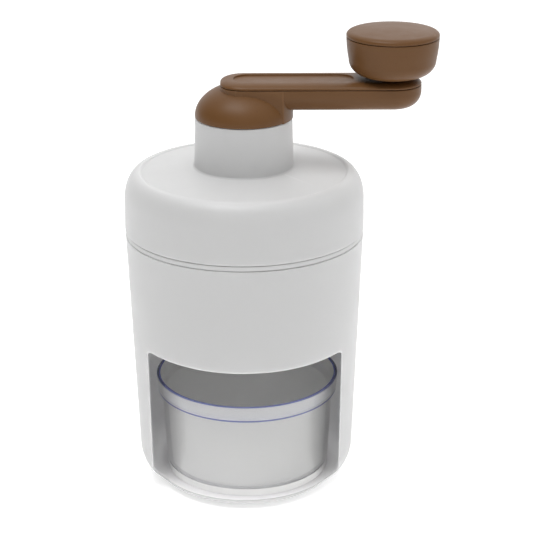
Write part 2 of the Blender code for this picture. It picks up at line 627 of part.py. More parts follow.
def make_arm_cover(axis):
    crown = []
    for run, rise in arc(0.0, 0.0, COVER_CROWN, COVER_TOP - COVER_LOW, 0.0, 90.0, 5):
        crown.append((arm_outline(COVER_CROWN - run), COVER_LOW + rise))
    cover = add_piece("arm_cover", loft(crown), "brown_plastic", axis)
    plug = arm_outline(COVER_PLUG_INSET)
    plug_top = COVER_LOW + 0.4 * OVERLAP
    combine(cover, "UNION", add_tool("cover_plug", prism(plug, COVER_PLUG_LOW, plug_top)))
    recess = stadium(RECESS_FROM_X, RECESS_TO_X, RECESS_HALF)
    pin_hole = circle(PIN_R + GAP, SMALL_SIDES, KNOB_X)
    combine(
        cover,
        "DIFFERENCE",
        add_tool("cover_recess", prism(recess, COVER_TOP - RECESS_DEPTH, COVER_TOP + 2.0 * PAST)),
        add_tool("cover_pin_hole", prism(pin_hole, COVER_PLUG_LOW - PAST, COVER_TOP + PAST)),
    )


def make_drive_sleeve(axis):
    profile = [
        (0.0, SLEEVE_LOW),
        (SLEEVE_R, SLEEVE_LOW),
        (SLEEVE_R, GROOVE_LOW),
        (GROOVE_R, GROOVE_LOW),
        (GROOVE_R, GROOVE_TOP),
        (SLEEVE_R, GROOVE_TOP),
        (SLEEVE_R, SLEEVE_HEAD_LOW),
        (SLEEVE_HEAD_R, SLEEVE_HEAD_LOW),
        (SLEEVE_HEAD_R, SLEEVE_TOP),
        (0.0, SLEEVE_TOP),
    ]
    sleeve = add_piece("drive_sleeve", turned(profile, HUB_SIDES), "nylon", axis)
    holes = []
    for angle in HUB_SCREW_ANGLES:
        place = around(HUB_SCREW_PLACE, angle)
        holes.append(screw_hole(SMALL_HOLE_R, *place, SLEEVE_HEAD_LOW - PAST, SLEEVE_TOP + PAST))
    bore, hex_top = circle(SLEEVE_BORE_R, HUB_SIDES), SLEEVE_GUIDE_TOP + 4.0 * OVERLAP
    combine(
        sleeve,
        "DIFFERENCE",
        add_tool("sleeve_hex", prism(hexagon(HEX_FLATS), SLEEVE_LOW - PAST, hex_top)),
        add_tool("sleeve_bore", prism(bore, SLEEVE_GUIDE_TOP, SLEEVE_TOP + 2.0 * PAST)),
        add_tool("sleeve_screw_holes", gathered(*holes)),
    )
    for number, angle in enumerate(HUB_SCREW_ANGLES, 1):
        place = placed(*around(HUB_SCREW_PLACE, angle), SLEEVE_HEAD_LOW - GAP, UPSIDE_DOWN)
        add_piece(f"hub_screw_{number}", screw_mesh(*HUB_SCREW), "steel", axis, place)


def make_retaining_ring(axis):
    outline = sector(RING_INNER_R, RING_R, 90.0 + RING_HALF_GAP, 450.0 - RING_HALF_GAP, 20)
    ring = prism(outline, GROOVE_LOW + GAP, GROOVE_TOP - GAP)
    add_piece("retaining_ring", ring, "steel", axis)


def make_feed_spring(axis):
    """A coil around the joint's axis, closed by its caps."""
    curve = bpy.data.curves.new("feed_spring", "CURVE")
    curve.dimensions = "3D"
    curve.bevel_depth = SPRING_WIRE * MM
    curve.bevel_resolution = 0
    curve.use_fill_caps = True
    count = SPRING_TURNS * SPRING_STEPS
    low, high = SPRING_LOW + SPRING_WIRE, SPRING_TOP - SPRING_WIRE
    spline = curve.splines.new("POLY")
    spline.points.add(count)
    for step, point in enumerate(spline.points):
        x, y = around(SPRING_R, 360.0 * step / SPRING_STEPS)
        z = low + (high - low) * step / count
        point.co = (x * MM, y * MM, z * MM, 1.0)
    spring = bpy.data.objects.new("feed_spring", curve)
    bpy.context.collection.objects.link(spring)
    curve.materials.append(finish_material("feed_spring", "steel"))
    spring.parent = axis
    spring.location = -axis.location


# ---------------------------------------------------------------- pusher


def make_pusher(axis):
    hex_top, pilot_gap = COLLAR_TOP - 0.5 * OVERLAP, 1.5
    shaft = add_piece("pusher_shaft", prism(hexagon(SHAFT_FLATS), SHAFT_LOW, hex_top), "nylon", axis)
    collar = circle(COLLAR_R, HUB_SIDES)
    combine(shaft, "UNION", add_tool("shaft_collar", prism(collar, COLLAR_LOW, COLLAR_TOP)))
    bore = prism(circle(SHAFT_BORE_R, SMALL_SIDES), SHAFT_BORE_LOW, COLLAR_TOP + PAST)
    pilot = screw_hole(PUSHER_HOLE_R, 0.0, 0.0, SHAFT_LOW - PAST, SHAFT_BORE_LOW - pilot_gap)
    combine(shaft, "DIFFERENCE", add_tool("shaft_bore", gathered(bore, pilot)))

    profile = [
        (0.0, PLATE_LOW),
        (PLATE_R, PLATE_LOW),
        (PLATE_R, PLATE_TOP),
        (PLATE_BOSS_R, PLATE_TOP),
        (PLATE_BOSS_R, PLATE_BOSS_TOP),
        (0.0, PLATE_BOSS_TOP),
    ]
    plate = add_piece("pusher_plate", turned(profile, BODY_SIDES), "nylon", axis)
    spikes = []
    for distance, count, first in SPIKE_ROWS:
        for step in range(count):
            x, y = around(distance, first + 360.0 * step / count)
            tip = circle(SPIKE_TIP_R, SPIKE_SIDES, x, y)
            root = circle(SPIKE_R, SPIKE_SIDES, x, y)
            spikes.append(loft([(tip, SPIKE_LOW), (root, PLATE_LOW + 0.5 * OVERLAP)]))
    combine(plate, "UNION", add_tool("plate_spikes", gathered(*spikes)))
    socket = prism(hexagon(HEX_FLATS), PLATE_TOP, PLATE_BOSS_TOP + 2.0 * PAST)
    hole = screw_hole(PUSHER_HOLE_R, 0.0, 0.0, PLATE_LOW - PAST, PLATE_TOP + PAST)
    combine(
        plate, "DIFFERENCE", add_tool("plate_socket", socket), add_tool("plate_screw_hole", hole)
    )
    place = placed(0.0, 0.0, PLATE_LOW - GAP, UPSIDE_DOWN)
    add_piece("pusher_screw", screw_mesh(*PUSHER_SCREW), "steel", axis, place)


# ---------------------------------------------------------------- knob


def make_knob_pin(axis):
    profile = [
        (0.0, PIN_LOW),
        (PIN_FLANGE_R, PIN_LOW),
        (PIN_FLANGE_R, PIN_FLANGE_TOP),
        (PIN_R, PIN_FLANGE_TOP),
        (PIN_R, PIN_TOP),
        (0.0, PIN_TOP),
    ]
    pin = add_piece("knob_pin", turned(profile, SMALL_SIDES, KNOB_X), "steel", axis)
    low_hole = screw_hole(SMALL_HOLE_R, KNOB_X, 0.0, PIN_LOW - PAST, PIN_LOW + PIN_HOLE_DEPTH)
    top_hole = screw_hole(SMALL_HOLE_R, KNOB_X, 0.0, PIN_TOP - PIN_HOLE_DEPTH, PIN_TOP + PAST)
    combine(pin, "DIFFERENCE", add_tool("pin_holes", gathered(low_hole, top_hole)))
    low_seat = placed(KNOB_X, 0.0, ARM_LOW + PIN_RECESS_DEPTH - GAP, UPSIDE_DOWN)
    add_piece("pin_screw", screw_mesh(*PIN_SCREW), "steel", axis, low_seat)
    washer = rectangle(WASHER_HOLE_R, WASHER_R, WASHER_LOW, WASHER_TOP)
    add_piece("knob_washer", turned(washer, SMALL_SIDES, KNOB_X), "steel", axis)
    top_seat = placed(KNOB_X, 0.0, WASHER_TOP + GAP)
    add_piece("knob_screw", screw_mesh(*KNOB_SCREW), "steel", axis, top_seat)


def make_knob_body(axis):
    seam = KNOB_SEAM - GAP / 2.0
    inner_r, floor = KNOB_SEAM_R - KNOB_WALL, KNOB_LOW + KNOB_WALL
    profile = [(PIN_R + GAP, KNOB_LOW)]
    profile += arc(
        KNOB_FLAT_R, KNOB_BELLY_Z, KNOB_BELLY_R - KNOB_FLAT_R, KNOB_BELLY_Z - KNOB_LOW, -90.0, 0.0, 5
    )
    profile += [
        (KNOB_SEAM_R, seam),
        (inner_r, seam),
        (inner_r - KNOB_INNER_TAPER, KNOB_BELLY_Z),
        (KNOB_FLAT_R, floor),
        (KNOB_BOSS_R, floor),
        (KNOB_BOSS_R, KNOB_BOSS_TOP),
        (PIN_R + GAP, KNOB_BOSS_TOP),
    ]
    add_piece("knob_body", turned(profile, HUB_SIDES, KNOB_X), "brown_plastic", axis)


def make_knob_cap(axis):
    seam = KNOB_SEAM + GAP / 2.0
    plug_r = KNOB_SEAM_R - KNOB_WALL - GAP
    shoulder = KNOB_TOP - CAP_CROWN - CAP_SHOULDER_Z
    profile = [(0.0, KNOB_TOP), (CAP_FLAT_R, KNOB_TOP - CAP_FLAT_DROP)]
    profile += arc(CAP_SHOULDER_R, CAP_SHOULDER_Z, KNOB_SEAM_R - CAP_SHOULDER_R, shoulder, 90.0, 0.0, 4)
    profile += [
        (KNOB_SEAM_R, seam),
        (plug_r, seam),
        (plug_r, CAP_PLUG_LOW),
        (plug_r - CAP_PLUG_WALL, CAP_PLUG_LOW),
        (plug_r - CAP_PLUG_WALL, CAP_CEILING_EDGE),
        (0.0, CAP_CEILING),
    ]
    add_piece("knob_cap", turned(profile, HUB_SIDES, KNOB_X), "brown_plastic", axis)


def main():
    clear_scene()
    make_body_shell()
    make_base_pad()
    make_hopper()
    make_blade()
    make_bowl(add_axis("bowl_axis", BOWL_X, 0.0, BOWL_FOOT_Z))

    make_lid_seal(add_axis("lid_lift_axis", 0.0, 0.0, SEAL_LOW))
    lid_axis = add_axis("lid_turn_axis", 0.0, 0.0, LID_LOW)
    make_lid_shell(lid_axis)
    make_inner_lid(lid_axis)
    make_neck_bush(lid_axis)

    crank_axis = add_axis("crank_axis", 0.0, 0.0, HUB_LOW)
    make_crank_arm(crank_axis)
    make_arm_cover(crank_axis)
    make_drive_sleeve(crank_axis)
    make_retaining_ring(crank_axis)
    make_feed_spring(crank_axis)
    make_knob_pin(crank_axis)

    make_pusher(add_axis("pusher_axis", 0.0, 0.0, SHAFT_LOW))

    knob_axis = add_axis("knob_axis", KNOB_X, 0.0, KNOB_LOW)
    make_knob_body(knob_axis)
    make_knob_cap(knob_axis)


main()
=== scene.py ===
"""Hand-crank ice shaver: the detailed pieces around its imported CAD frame.

Sizes are in millimetres and the meshes are made in metres, in the row frame: the origin is the middle
of the base, +Z is up, the window faces -Y and the crank's arm lies along +X.
"""

import math

import bmesh
import bpy
import numpy as np
from mathutils import Matrix, Vector


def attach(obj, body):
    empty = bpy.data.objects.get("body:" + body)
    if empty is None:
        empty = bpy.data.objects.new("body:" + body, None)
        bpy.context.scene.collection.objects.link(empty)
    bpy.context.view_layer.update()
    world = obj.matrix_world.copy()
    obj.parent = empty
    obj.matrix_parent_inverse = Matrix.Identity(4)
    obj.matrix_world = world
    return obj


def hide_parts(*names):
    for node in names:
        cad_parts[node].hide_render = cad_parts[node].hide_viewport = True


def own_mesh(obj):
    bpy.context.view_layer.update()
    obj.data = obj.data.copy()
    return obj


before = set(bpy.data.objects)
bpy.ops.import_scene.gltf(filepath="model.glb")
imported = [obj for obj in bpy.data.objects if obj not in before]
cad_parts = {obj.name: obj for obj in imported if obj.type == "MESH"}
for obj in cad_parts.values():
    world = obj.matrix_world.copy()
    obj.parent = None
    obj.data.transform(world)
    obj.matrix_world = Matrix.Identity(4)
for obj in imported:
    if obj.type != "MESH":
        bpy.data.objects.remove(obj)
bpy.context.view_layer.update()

MM = 0.001
GAP = 0.3  # between neighbouring pieces
PAST = 1.0  # how far a cutter runs past what it cuts
UPSIDE_DOWN = 180.0

# How many sides the round pieces have
ROUND, LARGE, FINE, SMALL, TINY = 224, 160, 128, 48, 24

# ------- mesh tools


def arc(r, z, radial, vertical, start, end, steps):
    """Points on an ellipse around (r, z), angles in degrees."""
    angles = [math.radians(start + (end - start) * step / steps) for step in range(steps + 1)]
    return [(r + radial * math.cos(a), z + vertical * math.sin(a)) for a in angles]


def filleted(corners, closed=True, steps=7):
    """The profile through corners, where a corner with a third number is rounded by that radius.

    Where a side is long enough, a point close to each rounding keeps the side's shading flat.
    """
    profile = []
    for index, corner in enumerate(corners):
        point = Vector(corner[:2])
        at_end = not closed and index in (0, len(corners) - 1)
        if len(corner) < 3 or at_end:
            profile.append(tuple(point))
            continue
        before = Vector(corners[index - 1][:2]) - point
        after = Vector(corners[(index + 1) % len(corners)][:2]) - point
        half, length_before, length_after = before.angle(after) / 2.0, before.length, after.length
        setback = min(corner[2] / math.tan(half), 0.49 * length_before, 0.49 * length_after)
        radius = setback * math.tan(half)
        before.normalize()
        after.normalize()
        centre = point + (before + after).normalized() * radius / math.sin(half)
        start, end = point + before * setback - centre, point + after * setback - centre
        from_angle = math.degrees(math.atan2(start.y, start.x))
        turn = (math.degrees(math.atan2(end.y, end.x)) - from_angle + 180.0) % 360.0 - 180.0
        support = min(0.35, setback)
        if setback + support < 0.5 * length_before:
            profile.append(tuple(point + before * (setback + support)))
        profile += arc(centre.x, centre.y, radius, radius, from_angle, from_angle + turn, steps)
        if setback + support < 0.5 * length_after:
            profile.append(tuple(point + after * (setback + support)))
    return profile


def turned(profile, sides=ROUND, x=0.0, y=0.0):
    """A closed profile of (r, z) points turned around a vertical axis at x, y."""
    bm = bmesh.new()
    rings = []
    for r, z in profile:
        count = sides if r > 0 else 1
        angles = [2.0 * math.pi * step / sides for step in range(count)]
        rings.append([bm.verts.new((x + r * math.cos(a), y + r * math.sin(a), z)) for a in angles])
    for ring, following in zip(rings, rings[1:] + rings[:1]):
        for step in range(sides):
            corners = []
            for loop, index in ((ring, step), (ring, step + 1), (following, step + 1), (following, step)):
                vertex = loop[index % len(loop)]
                if vertex not in corners:
                    corners.append(vertex)
            if len(corners) > 2:
                bm.faces.new(corners)
    return bm


def tube(bm, loops):
    """Faces from each loop to the next, all of equal length."""
    for loop, following in zip(loops, loops[1:]):
        for index in range(len(loop)):
            ahead = (index + 1) % len(loop)
            bm.faces.new((loop[index], loop[ahead], following[ahead], following[index]))


def loft(levels):
    """Joins outlines of equal length, each given with its height, and caps both ends."""
    bm = bmesh.new()
    loops = [[bm.verts.new((x, y, z)) for x, y in outline] for outline, z in levels]
    tube(bm, loops)
    bm.faces.new(loops[0])
    bm.faces.new(loops[-1])
    return bm


def prism(outline, low, high):
    return loft([(outline, low), (outline, high)])


def rectangle(x_from, x_to, y_from, y_to):
    return [(x_from, y_from), (x_to, y_from), (x_to, y_to), (x_from, y_to)]


def circle(radius, sides=SMALL, x=0.0, y=0.0):
    angles = [2.0 * math.pi * step / sides for step in range(sides)]
    return [(x + radius * math.cos(a), y + radius * math.sin(a)) for a in angles]


def hexagon(flats, rounding):
    """A hexagon across its flats with rounded corners."""
    corners = [(x, y, rounding) for x, y in circle(flats / 2.0 / math.cos(math.pi / 6.0), 6)]
    return filleted(corners, steps=4)


def stadium(x_from, x_to, half, flat):
    """A slot's outline: a half circle about x_to on the right, and on the left two corners about x_from.

    The left end is straight between its corners, for a length flat to each side of the middle.
    """
    straight, steps, corner = 12, 36, half - flat
    run = [(x_from + (x_to - x_from) * step / straight, -half) for step in range(1, straight)]
    back = [(x, -y) for x, y in reversed(run)]
    right = arc(x_to, 0.0, half, half, -90.0, 90.0, steps)
    left = arc(x_from, flat, corner, corner, 90.0, 180.0, steps // 2)
    left += arc(x_from, -flat, corner, corner, 180.0, 270.0, steps // 2)
    return right + back + left + run


def sector(inner, outer, start, end, steps=16):
    """A piece of a ring, between two angles in degrees."""
    return arc(0.0, 0.0, outer, outer, start, end, steps) + arc(0.0, 0.0, inner, inner, end, start, steps)


def around(place, angle):
    return place * math.cos(math.radians(angle)), place * math.sin(math.radians(angle))


def moved(bm, x=0.0, y=0.0, z=0.0, turn=0.0):
    """Moves to x, y, z after a turn about X in degrees."""
    place = Matrix.Translation((x, y, z)) @ Matrix.Rotation(math.radians(turn), 4, "X")
    bmesh.ops.transform(bm, matrix=place, verts=bm.verts)
    return bm


def gathered(meshes):
    """Several separate shapes in one mesh."""
    whole = bmesh.new()
    for bm in meshes:
        part = bpy.data.meshes.new("part")
        bm.to_mesh(part)
        bm.free()
        whole.from_mesh(part)
        bpy.data.meshes.remove(part)
    return whole


def spokes(count, first, outline, low, high):
    """Equal bars around Z, the first of them turned by an angle in degrees."""
    bars = []
    for step in range(count):
        bars.append(prism(outline, low, high))
        turn = Matrix.Rotation(math.radians(360.0 / count * step + first), 4, "Z")
        bmesh.ops.transform(bars[-1], matrix=turn, verts=bars[-1].verts)
    return gathered(bars)


def linked(name, data):
    item = bpy.data.objects.new(name, data)
    bpy.context.scene.collection.objects.link(item)
    return item


def shape(name, bm):
    bmesh.ops.recalc_face_normals(bm, faces=bm.faces)
    mesh = bpy.data.meshes.new(name)
    bm.to_mesh(mesh)
    bm.free()
    return linked(name, mesh)


def combined(base, *steps):
    """The base mesh after each (operation, mesh) step of joining or cutting."""
    thing = shape("base", base)
    tools = []
    for operation, bm in steps:
        tools.append(shape("tool", bm))
        modifier = thing.modifiers.new("step", "BOOLEAN")
        modifier.operation = operation
        modifier.solver = "EXACT"
        modifier.object = tools[-1]
    graph = bpy.context.evaluated_depsgraph_get()
    mesh = bpy.data.meshes.new_from_object(thing.evaluated_get(graph))
    result = bmesh.new()
    result.from_mesh(mesh)
    bpy.data.meshes.remove(mesh)
    for item in [thing] + tools:
        mesh = item.data
        bpy.data.objects.remove(item)
        bpy.data.meshes.remove(mesh)
    return result


def make(name, bm, body, slot, *nodes, sharp=32.0, even=False):
    """A finished piece: it rides on body, stands for nodes and takes the material of its slot."""
    bmesh.ops.transform(bm, matrix=Matrix.Scale(MM, 4), verts=bm.verts)
    piece = shape(name, bm)
    piece.data.shade_smooth()
    piece.data.set_sharp_from_angle(angle=math.radians(sharp))
    if even:
        modifier = piece.modifiers.new("even_normals", "WEIGHTED_NORMAL")
        modifier.keep_sharp = True
    piece.data.materials.append(MATERIALS[slot])
    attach(piece, body)
    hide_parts(*nodes)
    return piece


# ------- materials


def feed(tree, node, inputs):
    """Sets a node's inputs from numbers or from other nodes' outputs."""
    for key, value in inputs.items():
        if isinstance(value, bpy.types.NodeSocket):
            tree.links.new(value, node.inputs[key])
        else:
            node.inputs[key].default_value = value
    return node


def add(tree, kind, inputs=(), **settings):
    made = tree.nodes.new("ShaderNode" + kind)
    for key, value in settings.items():
        setattr(made, key, value)
    return feed(tree, made, dict(inputs))


def maths(tree, operation, *values):
    return add(tree, "Math", enumerate(values), operation=operation).outputs[0]


def noise(tree, vector, scale, detail=2.0, roughness=0.5):
    values = {"Vector": vector, "Scale": scale, "Detail": detail, "Roughness": roughness}
    return add(tree, "TexNoise", values).outputs[0]


def spread(tree, value, low, high, from_low=0.3, from_high=0.7):
    """A value moved from one range into another."""
    values = {"Value": value, "From Min": from_low, "From Max": from_high, "To Min": low, "To Max": high}
    return add(tree, "MapRange", values).outputs[0]


def mix(tree, factor, first, second):
    return add(tree, "Mix", {0: factor, 6: first, 7: second}, data_type="RGBA").outputs[2]


def grey(tone):
    return (tone, tone, tone)


def rgb(colour, gain=1.0):
    return (*[min(1.0, part * gain) for part in colour], 1.0)


def new_material(name):
    material = bpy.data.materials.new(name)
    material.use_nodes = True
    tree = material.node_tree
    place = add(tree, "TexCoord").outputs["Object"]
    return material, tree, tree.nodes["Principled BSDF"], place


def edges(tree):
    """1 along convex edges, 0 on flat and hollow places."""
    return spread(tree, add(tree, "NewGeometry").outputs["Pointiness"], 0.0, 1.0, 0.515, 0.60)


def moulded(name, colour, roughness, grain, depth, mottle, wear_and_highlight, ior=1.49, subsurface=0.0, thickness=0.005):
    """Moulded plastic: fine even grain, soft drifts of tone and gloss, and edges rubbed smoother and
    painted lighter.

    grain is the bump's scale and depth its height, mottle is how far the tone drifts, the colour
    after mottle is painted on the convex edges, standing both for rubbed wear and for a painted
    highlight, and thickness is how far light runs inside.
    """
    material, tree, shader, place = new_material(name)
    drift = noise(tree, place, 16.0, 3.0)
    tone = mix(tree, drift, rgb(colour, 1.0 - mottle), rgb(colour, 1.0 + mottle))
    specks = spread(tree, noise(tree, place, 900.0, 1.0), 0.0, 1.0, 0.66, 0.80)
    tone = mix(tree, specks, tone, rgb(colour, 1.0 - 2.0 * mottle))
    # Convex edges are painted lighter, partly rubbed wear and partly a painted highlight, and are rubbed
    # smoother.
    worn_and_highlighted_edges = maths(tree, "MULTIPLY", edges(tree), noise(tree, place, 140.0, 4.0))
    sheen = spread(tree, noise(tree, place, 70.0, 5.0, 0.6), roughness - 0.05, roughness + 0.06)
    fine = noise(tree, place, grain, 2.0, 0.6)
    flow = noise(tree, place, 28.0, 2.0)
    bump = add(tree, "Bump", {"Height": flow, "Distance": 0.00008, "Strength": 0.5}).outputs[0]
    bump = add(tree, "Bump", {"Height": fine, "Distance": depth, "Strength": 1.0, "Normal": bump})
    inputs = {
        "Base Color": mix(tree, worn_and_highlighted_edges, tone, rgb(wear_and_highlight)),
        "Roughness": maths(tree, "MULTIPLY_ADD", worn_and_highlighted_edges, -0.12, sheen),
        "Normal": bump.outputs[0],
        "IOR": ior,
        "Subsurface Weight": subsurface,
        "Subsurface Radius": (1.0, 1.0, 1.0),
        "Subsurface Scale": thickness,
    }
    feed(tree, shader, inputs)
    return material


def clear(name, axis_x, floor_z, shelf_z, middle_low, middle_high, middle_rim, band_r, band_z, rim_z):
    """Clear plastic, polished outside and milky on its inner skin, with violet painted where it is seen
    edge on.

    The inner skin is what lies under floor_z or inside the middle of the wall, whose radius goes from
    middle_low at floor_z to middle_high at shelf_z, and is middle_rim over that. The violet is a tint
    painted on what lies outside band_r and under band_z, and on what lies over rim_z, standing in for
    how the wall looks when light runs through it edge on.
    """
    material, tree, shader, place = new_material(name)
    height = add(tree, "SeparateXYZ", {0: place}).outputs["Z"]
    flat = add(tree, "Mapping", {"Vector": place, "Location": (-axis_x, 0.0, 0.0), "Scale": (1.0, 1.0, 0.0)})
    radius = add(tree, "VectorMath", {0: flat.outputs[0]}, operation="LENGTH").outputs["Value"]
    middle = spread(tree, height, middle_low, middle_high, floor_z, shelf_z)
    over_shelf = maths(tree, "GREATER_THAN", height, shelf_z)
    middle = maths(tree, "MULTIPLY_ADD", over_shelf, middle_rim - middle_high, middle)
    within = maths(tree, "LESS_THAN", radius, middle)
    inner = maths(tree, "MAXIMUM", within, maths(tree, "LESS_THAN", height, floor_z))
    outside = maths(tree, "GREATER_THAN", radius, band_r)
    band = maths(tree, "MULTIPLY", outside, maths(tree, "LESS_THAN", height, band_z))
    edge = maths(tree, "MAXIMUM", band, maths(tree, "GREATER_THAN", height, rim_z))
    haze = spread(tree, noise(tree, place, 60.0, 4.0), 0.01, 0.06)
    ripple = noise(tree, place, 45.0, 2.0)
    bump = add(tree, "Bump", {"Height": ripple, "Distance": 0.00004, "Strength": 0.4})
    inputs = {
        # A violet tint painted on the rim and the lower band, standing in for the wall seen edge on.
        "Base Color": mix(tree, edge, (0.97, 0.97, 0.95, 1.0), (0.08, 0.10, 0.42, 1.0)),
        "IOR": 1.46,
        "Transmission Weight": spread(tree, inner, 0.97, 0.22, 0.0, 1.0),
        "Roughness": maths(tree, "MULTIPLY_ADD", inner, 0.30, haze),
        "Normal": bump.outputs[0],
    }
    feed(tree, shader, inputs)
    open_to_light = add(tree, "BsdfTransparent", {"Color": (0.92, 0.92, 0.94, 1.0)})
    shadow_ray = add(tree, "LightPath").outputs["Is Shadow Ray"]
    both = add(tree, "MixShader", {0: shadow_ray, 1: shader.outputs[0], 2: open_to_light.outputs[0]})
    depth = add(tree, "VolumeAbsorption", {"Color": (0.30, 0.32, 0.70, 1.0), "Density": 9.0})
    feed(tree, tree.nodes["Material Output"], {"Surface": both.outputs[0], "Volume": depth.outputs[0]})
    return material


def metal(name, colour, roughness, stretch, depth):
    """Steel with fine lines along one axis, and small spots of uneven gloss."""
    material, tree, shader, place = new_material(name)
    stretched = add(tree, "Mapping", {"Vector": place, "Scale": stretch}).outputs[0]
    lines = noise(tree, stretched, 1.0, 4.0, 0.65)
    tone = mix(tree, lines, rgb(colour, 0.82), rgb(colour, 1.1))
    bump = add(tree, "Bump", {"Height": lines, "Distance": depth, "Strength": 0.6})
    inputs = {
        # Convex edges are painted brighter: partly edges rubbed bright, partly a painted highlight.
        "Base Color": mix(tree, edges(tree), tone, rgb(colour, 1.25)),
        "Roughness": spread(tree, noise(tree, place, 180.0, 4.0), roughness - 0.08, roughness + 0.10),
        "Normal": bump.outputs[0],
        "Metallic": 1.0,
    }
    feed(tree, shader, inputs)
    return material


MATERIALS = {
    "white_plastic": moulded(
        "white_plastic", grey(0.565), 0.42, 2400.0, 0.000012, 0.012, grey(0.64), subsurface=1.0
    ),
    "inner_plastic": moulded("inner_plastic", grey(0.56), 0.48, 2000.0, 0.000015, 0.015, grey(0.62)),
    # Painted light: a brighter, faintly violet copy of the white plastic for the housing's inner faces,
    # standing in for light that comes in through the walls and the window and bounces inside.
    "painted_light_wall": moulded(
        "painted_light_wall",
        (0.96, 0.93, 0.945),
        0.50,
        2000.0,
        0.000012,
        0.008,
        (0.97, 0.95, 0.96),
        subsurface=1.0,
        thickness=0.003,
    ),
    "brown_plastic": moulded(
        "brown_plastic", (0.125, 0.057, 0.019), 0.40, 2600.0, 0.000016, 0.05, (0.20, 0.10, 0.042), 1.31
    ),
    "clear_plastic": clear(
        "clear_plastic",
        axis_x=0.0007,
        floor_z=0.0098,
        shelf_z=0.0492,
        middle_low=0.0410,
        middle_high=0.0432,
        middle_rim=0.0457,
        band_r=0.0459,
        band_z=0.0500,
        rim_z=0.0571,
    ),
    "nylon": moulded(
        "nylon", (0.66, 0.63, 0.55), 0.45, 1500.0, 0.00002, 0.03, (0.74, 0.72, 0.66), 1.53, subsurface=0.15
    ),
    "grey_rubber": moulded(
        "grey_rubber", (0.30, 0.30, 0.31), 0.78, 1100.0, 0.00004, 0.06, (0.40, 0.40, 0.41)
    ),
    "blade_steel": metal("blade_steel", (0.60, 0.60, 0.62), 0.26, (3.0, 1400.0, 1400.0), 0.000012),
    "steel": metal("steel", (0.52, 0.52, 0.53), 0.34, (500.0, 500.0, 60.0), 0.00001),
}

# ------- housing

PAD_R, PAD_TOP = 31.0, 1.2
BASE_Z, BASE_FLAT_R, BASE_ROUND, BASE_STEPS = 0.5, 33.9, 18.9, 160
BODY_TOP, BODY_TOP_R, BODY_TAPER, BODY_WALL = 134.0, 59.8, 0.0385, 2.5
FLOOR_Z, FLOOR_R = 4.75, 43.0
WINDOW_LOW_HALF, WINDOW_LOW_ROUND = 47.5, 8.0
WINDOW_TOP, WINDOW_TOP_HALF, WINDOW_TOP_ROUND, WINDOW_TOP_SAG = 81.3, 48.3, 2.5, 1.1
ACROSS, UPWARD, CORNER, OUTWARD = 96, 60, 12, 34  # cells along, up, round and away from the window
EDGE_SIDE, EDGE_SILL, EDGE_INNER = 1.3, 3.2, 0.7  # how far the window's edges are rounded


class Skin:
    """A surface turned around Z, whose points are given by an angle and a length along its profile.

    The profile's first side lies flat, and the rest of it rises.
    """

    def __init__(self, profile):
        self.r = np.array([point[0] for point in profile])
        self.z = np.array([point[1] for point in profile])
        steps = np.hypot(np.diff(self.r), np.diff(self.z))
        self.s = np.concatenate([[0.0], np.cumsum(steps)])

    def length_at(self, z):
        return np.interp(z, self.z[1:], self.s[1:])

    def radius(self, s):
        return np.interp(s, self.s, self.r)

    def points(self, theta, s):
        r = self.radius(s)
        return np.stack([r * np.sin(theta), -r * np.cos(theta), np.interp(s, self.s, self.z)], 1)


def window_outline():
    """(x, z) points around the window as seen from the front, and the index of each corner's middle."""
    corners = (
        (WINDOW_LOW_HALF, FLOOR_Z, WINDOW_LOW_ROUND, -90.0),
        (WINDOW_TOP_HALF, WINDOW_TOP, WINDOW_TOP_ROUND, 0.0),
        (-WINDOW_TOP_HALF, WINDOW_TOP, WINDOW_TOP_ROUND, 90.0),
        (-WINDOW_LOW_HALF, FLOOR_Z, WINDOW_LOW_ROUND, 180.0),
    )
    arcs = []
    for x, z, rounding, start in corners:
        x_centre = x - math.copysign(rounding, x)
        z_centre = z + rounding if z == FLOOR_Z else z - rounding
        arcs.append(arc(x_centre, z_centre, rounding, rounding, start, start + 90.0, CORNER))
    outline, middles = [], []
    for index, points in enumerate(arcs):
        middles.append(len(outline) + CORNER // 2)
        outline += points
        end, start = Vector(points[-1]), Vector(arcs[(index + 1) % 4][0])
        count = (UPWARD, ACROSS)[index % 2]
        for step in range(1, count):
            point = end.lerp(start, step / count)
            if index == 1:
                point.y -= WINDOW_TOP_SAG * (1.0 - (point.x / end.x) ** 2)
            outline.append(tuple(point))
    first = middles[0]
    return np.array(outline[first:] + outline[:first]), [middle - first for middle in middles]


def far_edge(count, middles, length):
    """Where each of the outline's points goes on the far edge: the seam at the back, the top and the foot."""
    theta, s = np.zeros(count), np.zeros(count)
    ends = middles + [count]
    corners = ((math.pi, 0.0), (math.pi, length), (-math.pi, length), (-math.pi, 0.0), (math.pi, 0.0))
    for side in range(4):
        cells = ends[side + 1] - ends[side]
        share = np.arange(cells) / cells
        (theta_from, s_from), (theta_to, s_to) = corners[side], corners[side + 1]
        theta[ends[side] : ends[side + 1]] = theta_from + (theta_to - theta_from) * share
        s[ends[side] : ends[side + 1]] = s_from + (s_to - s_from) * share
    return theta, s


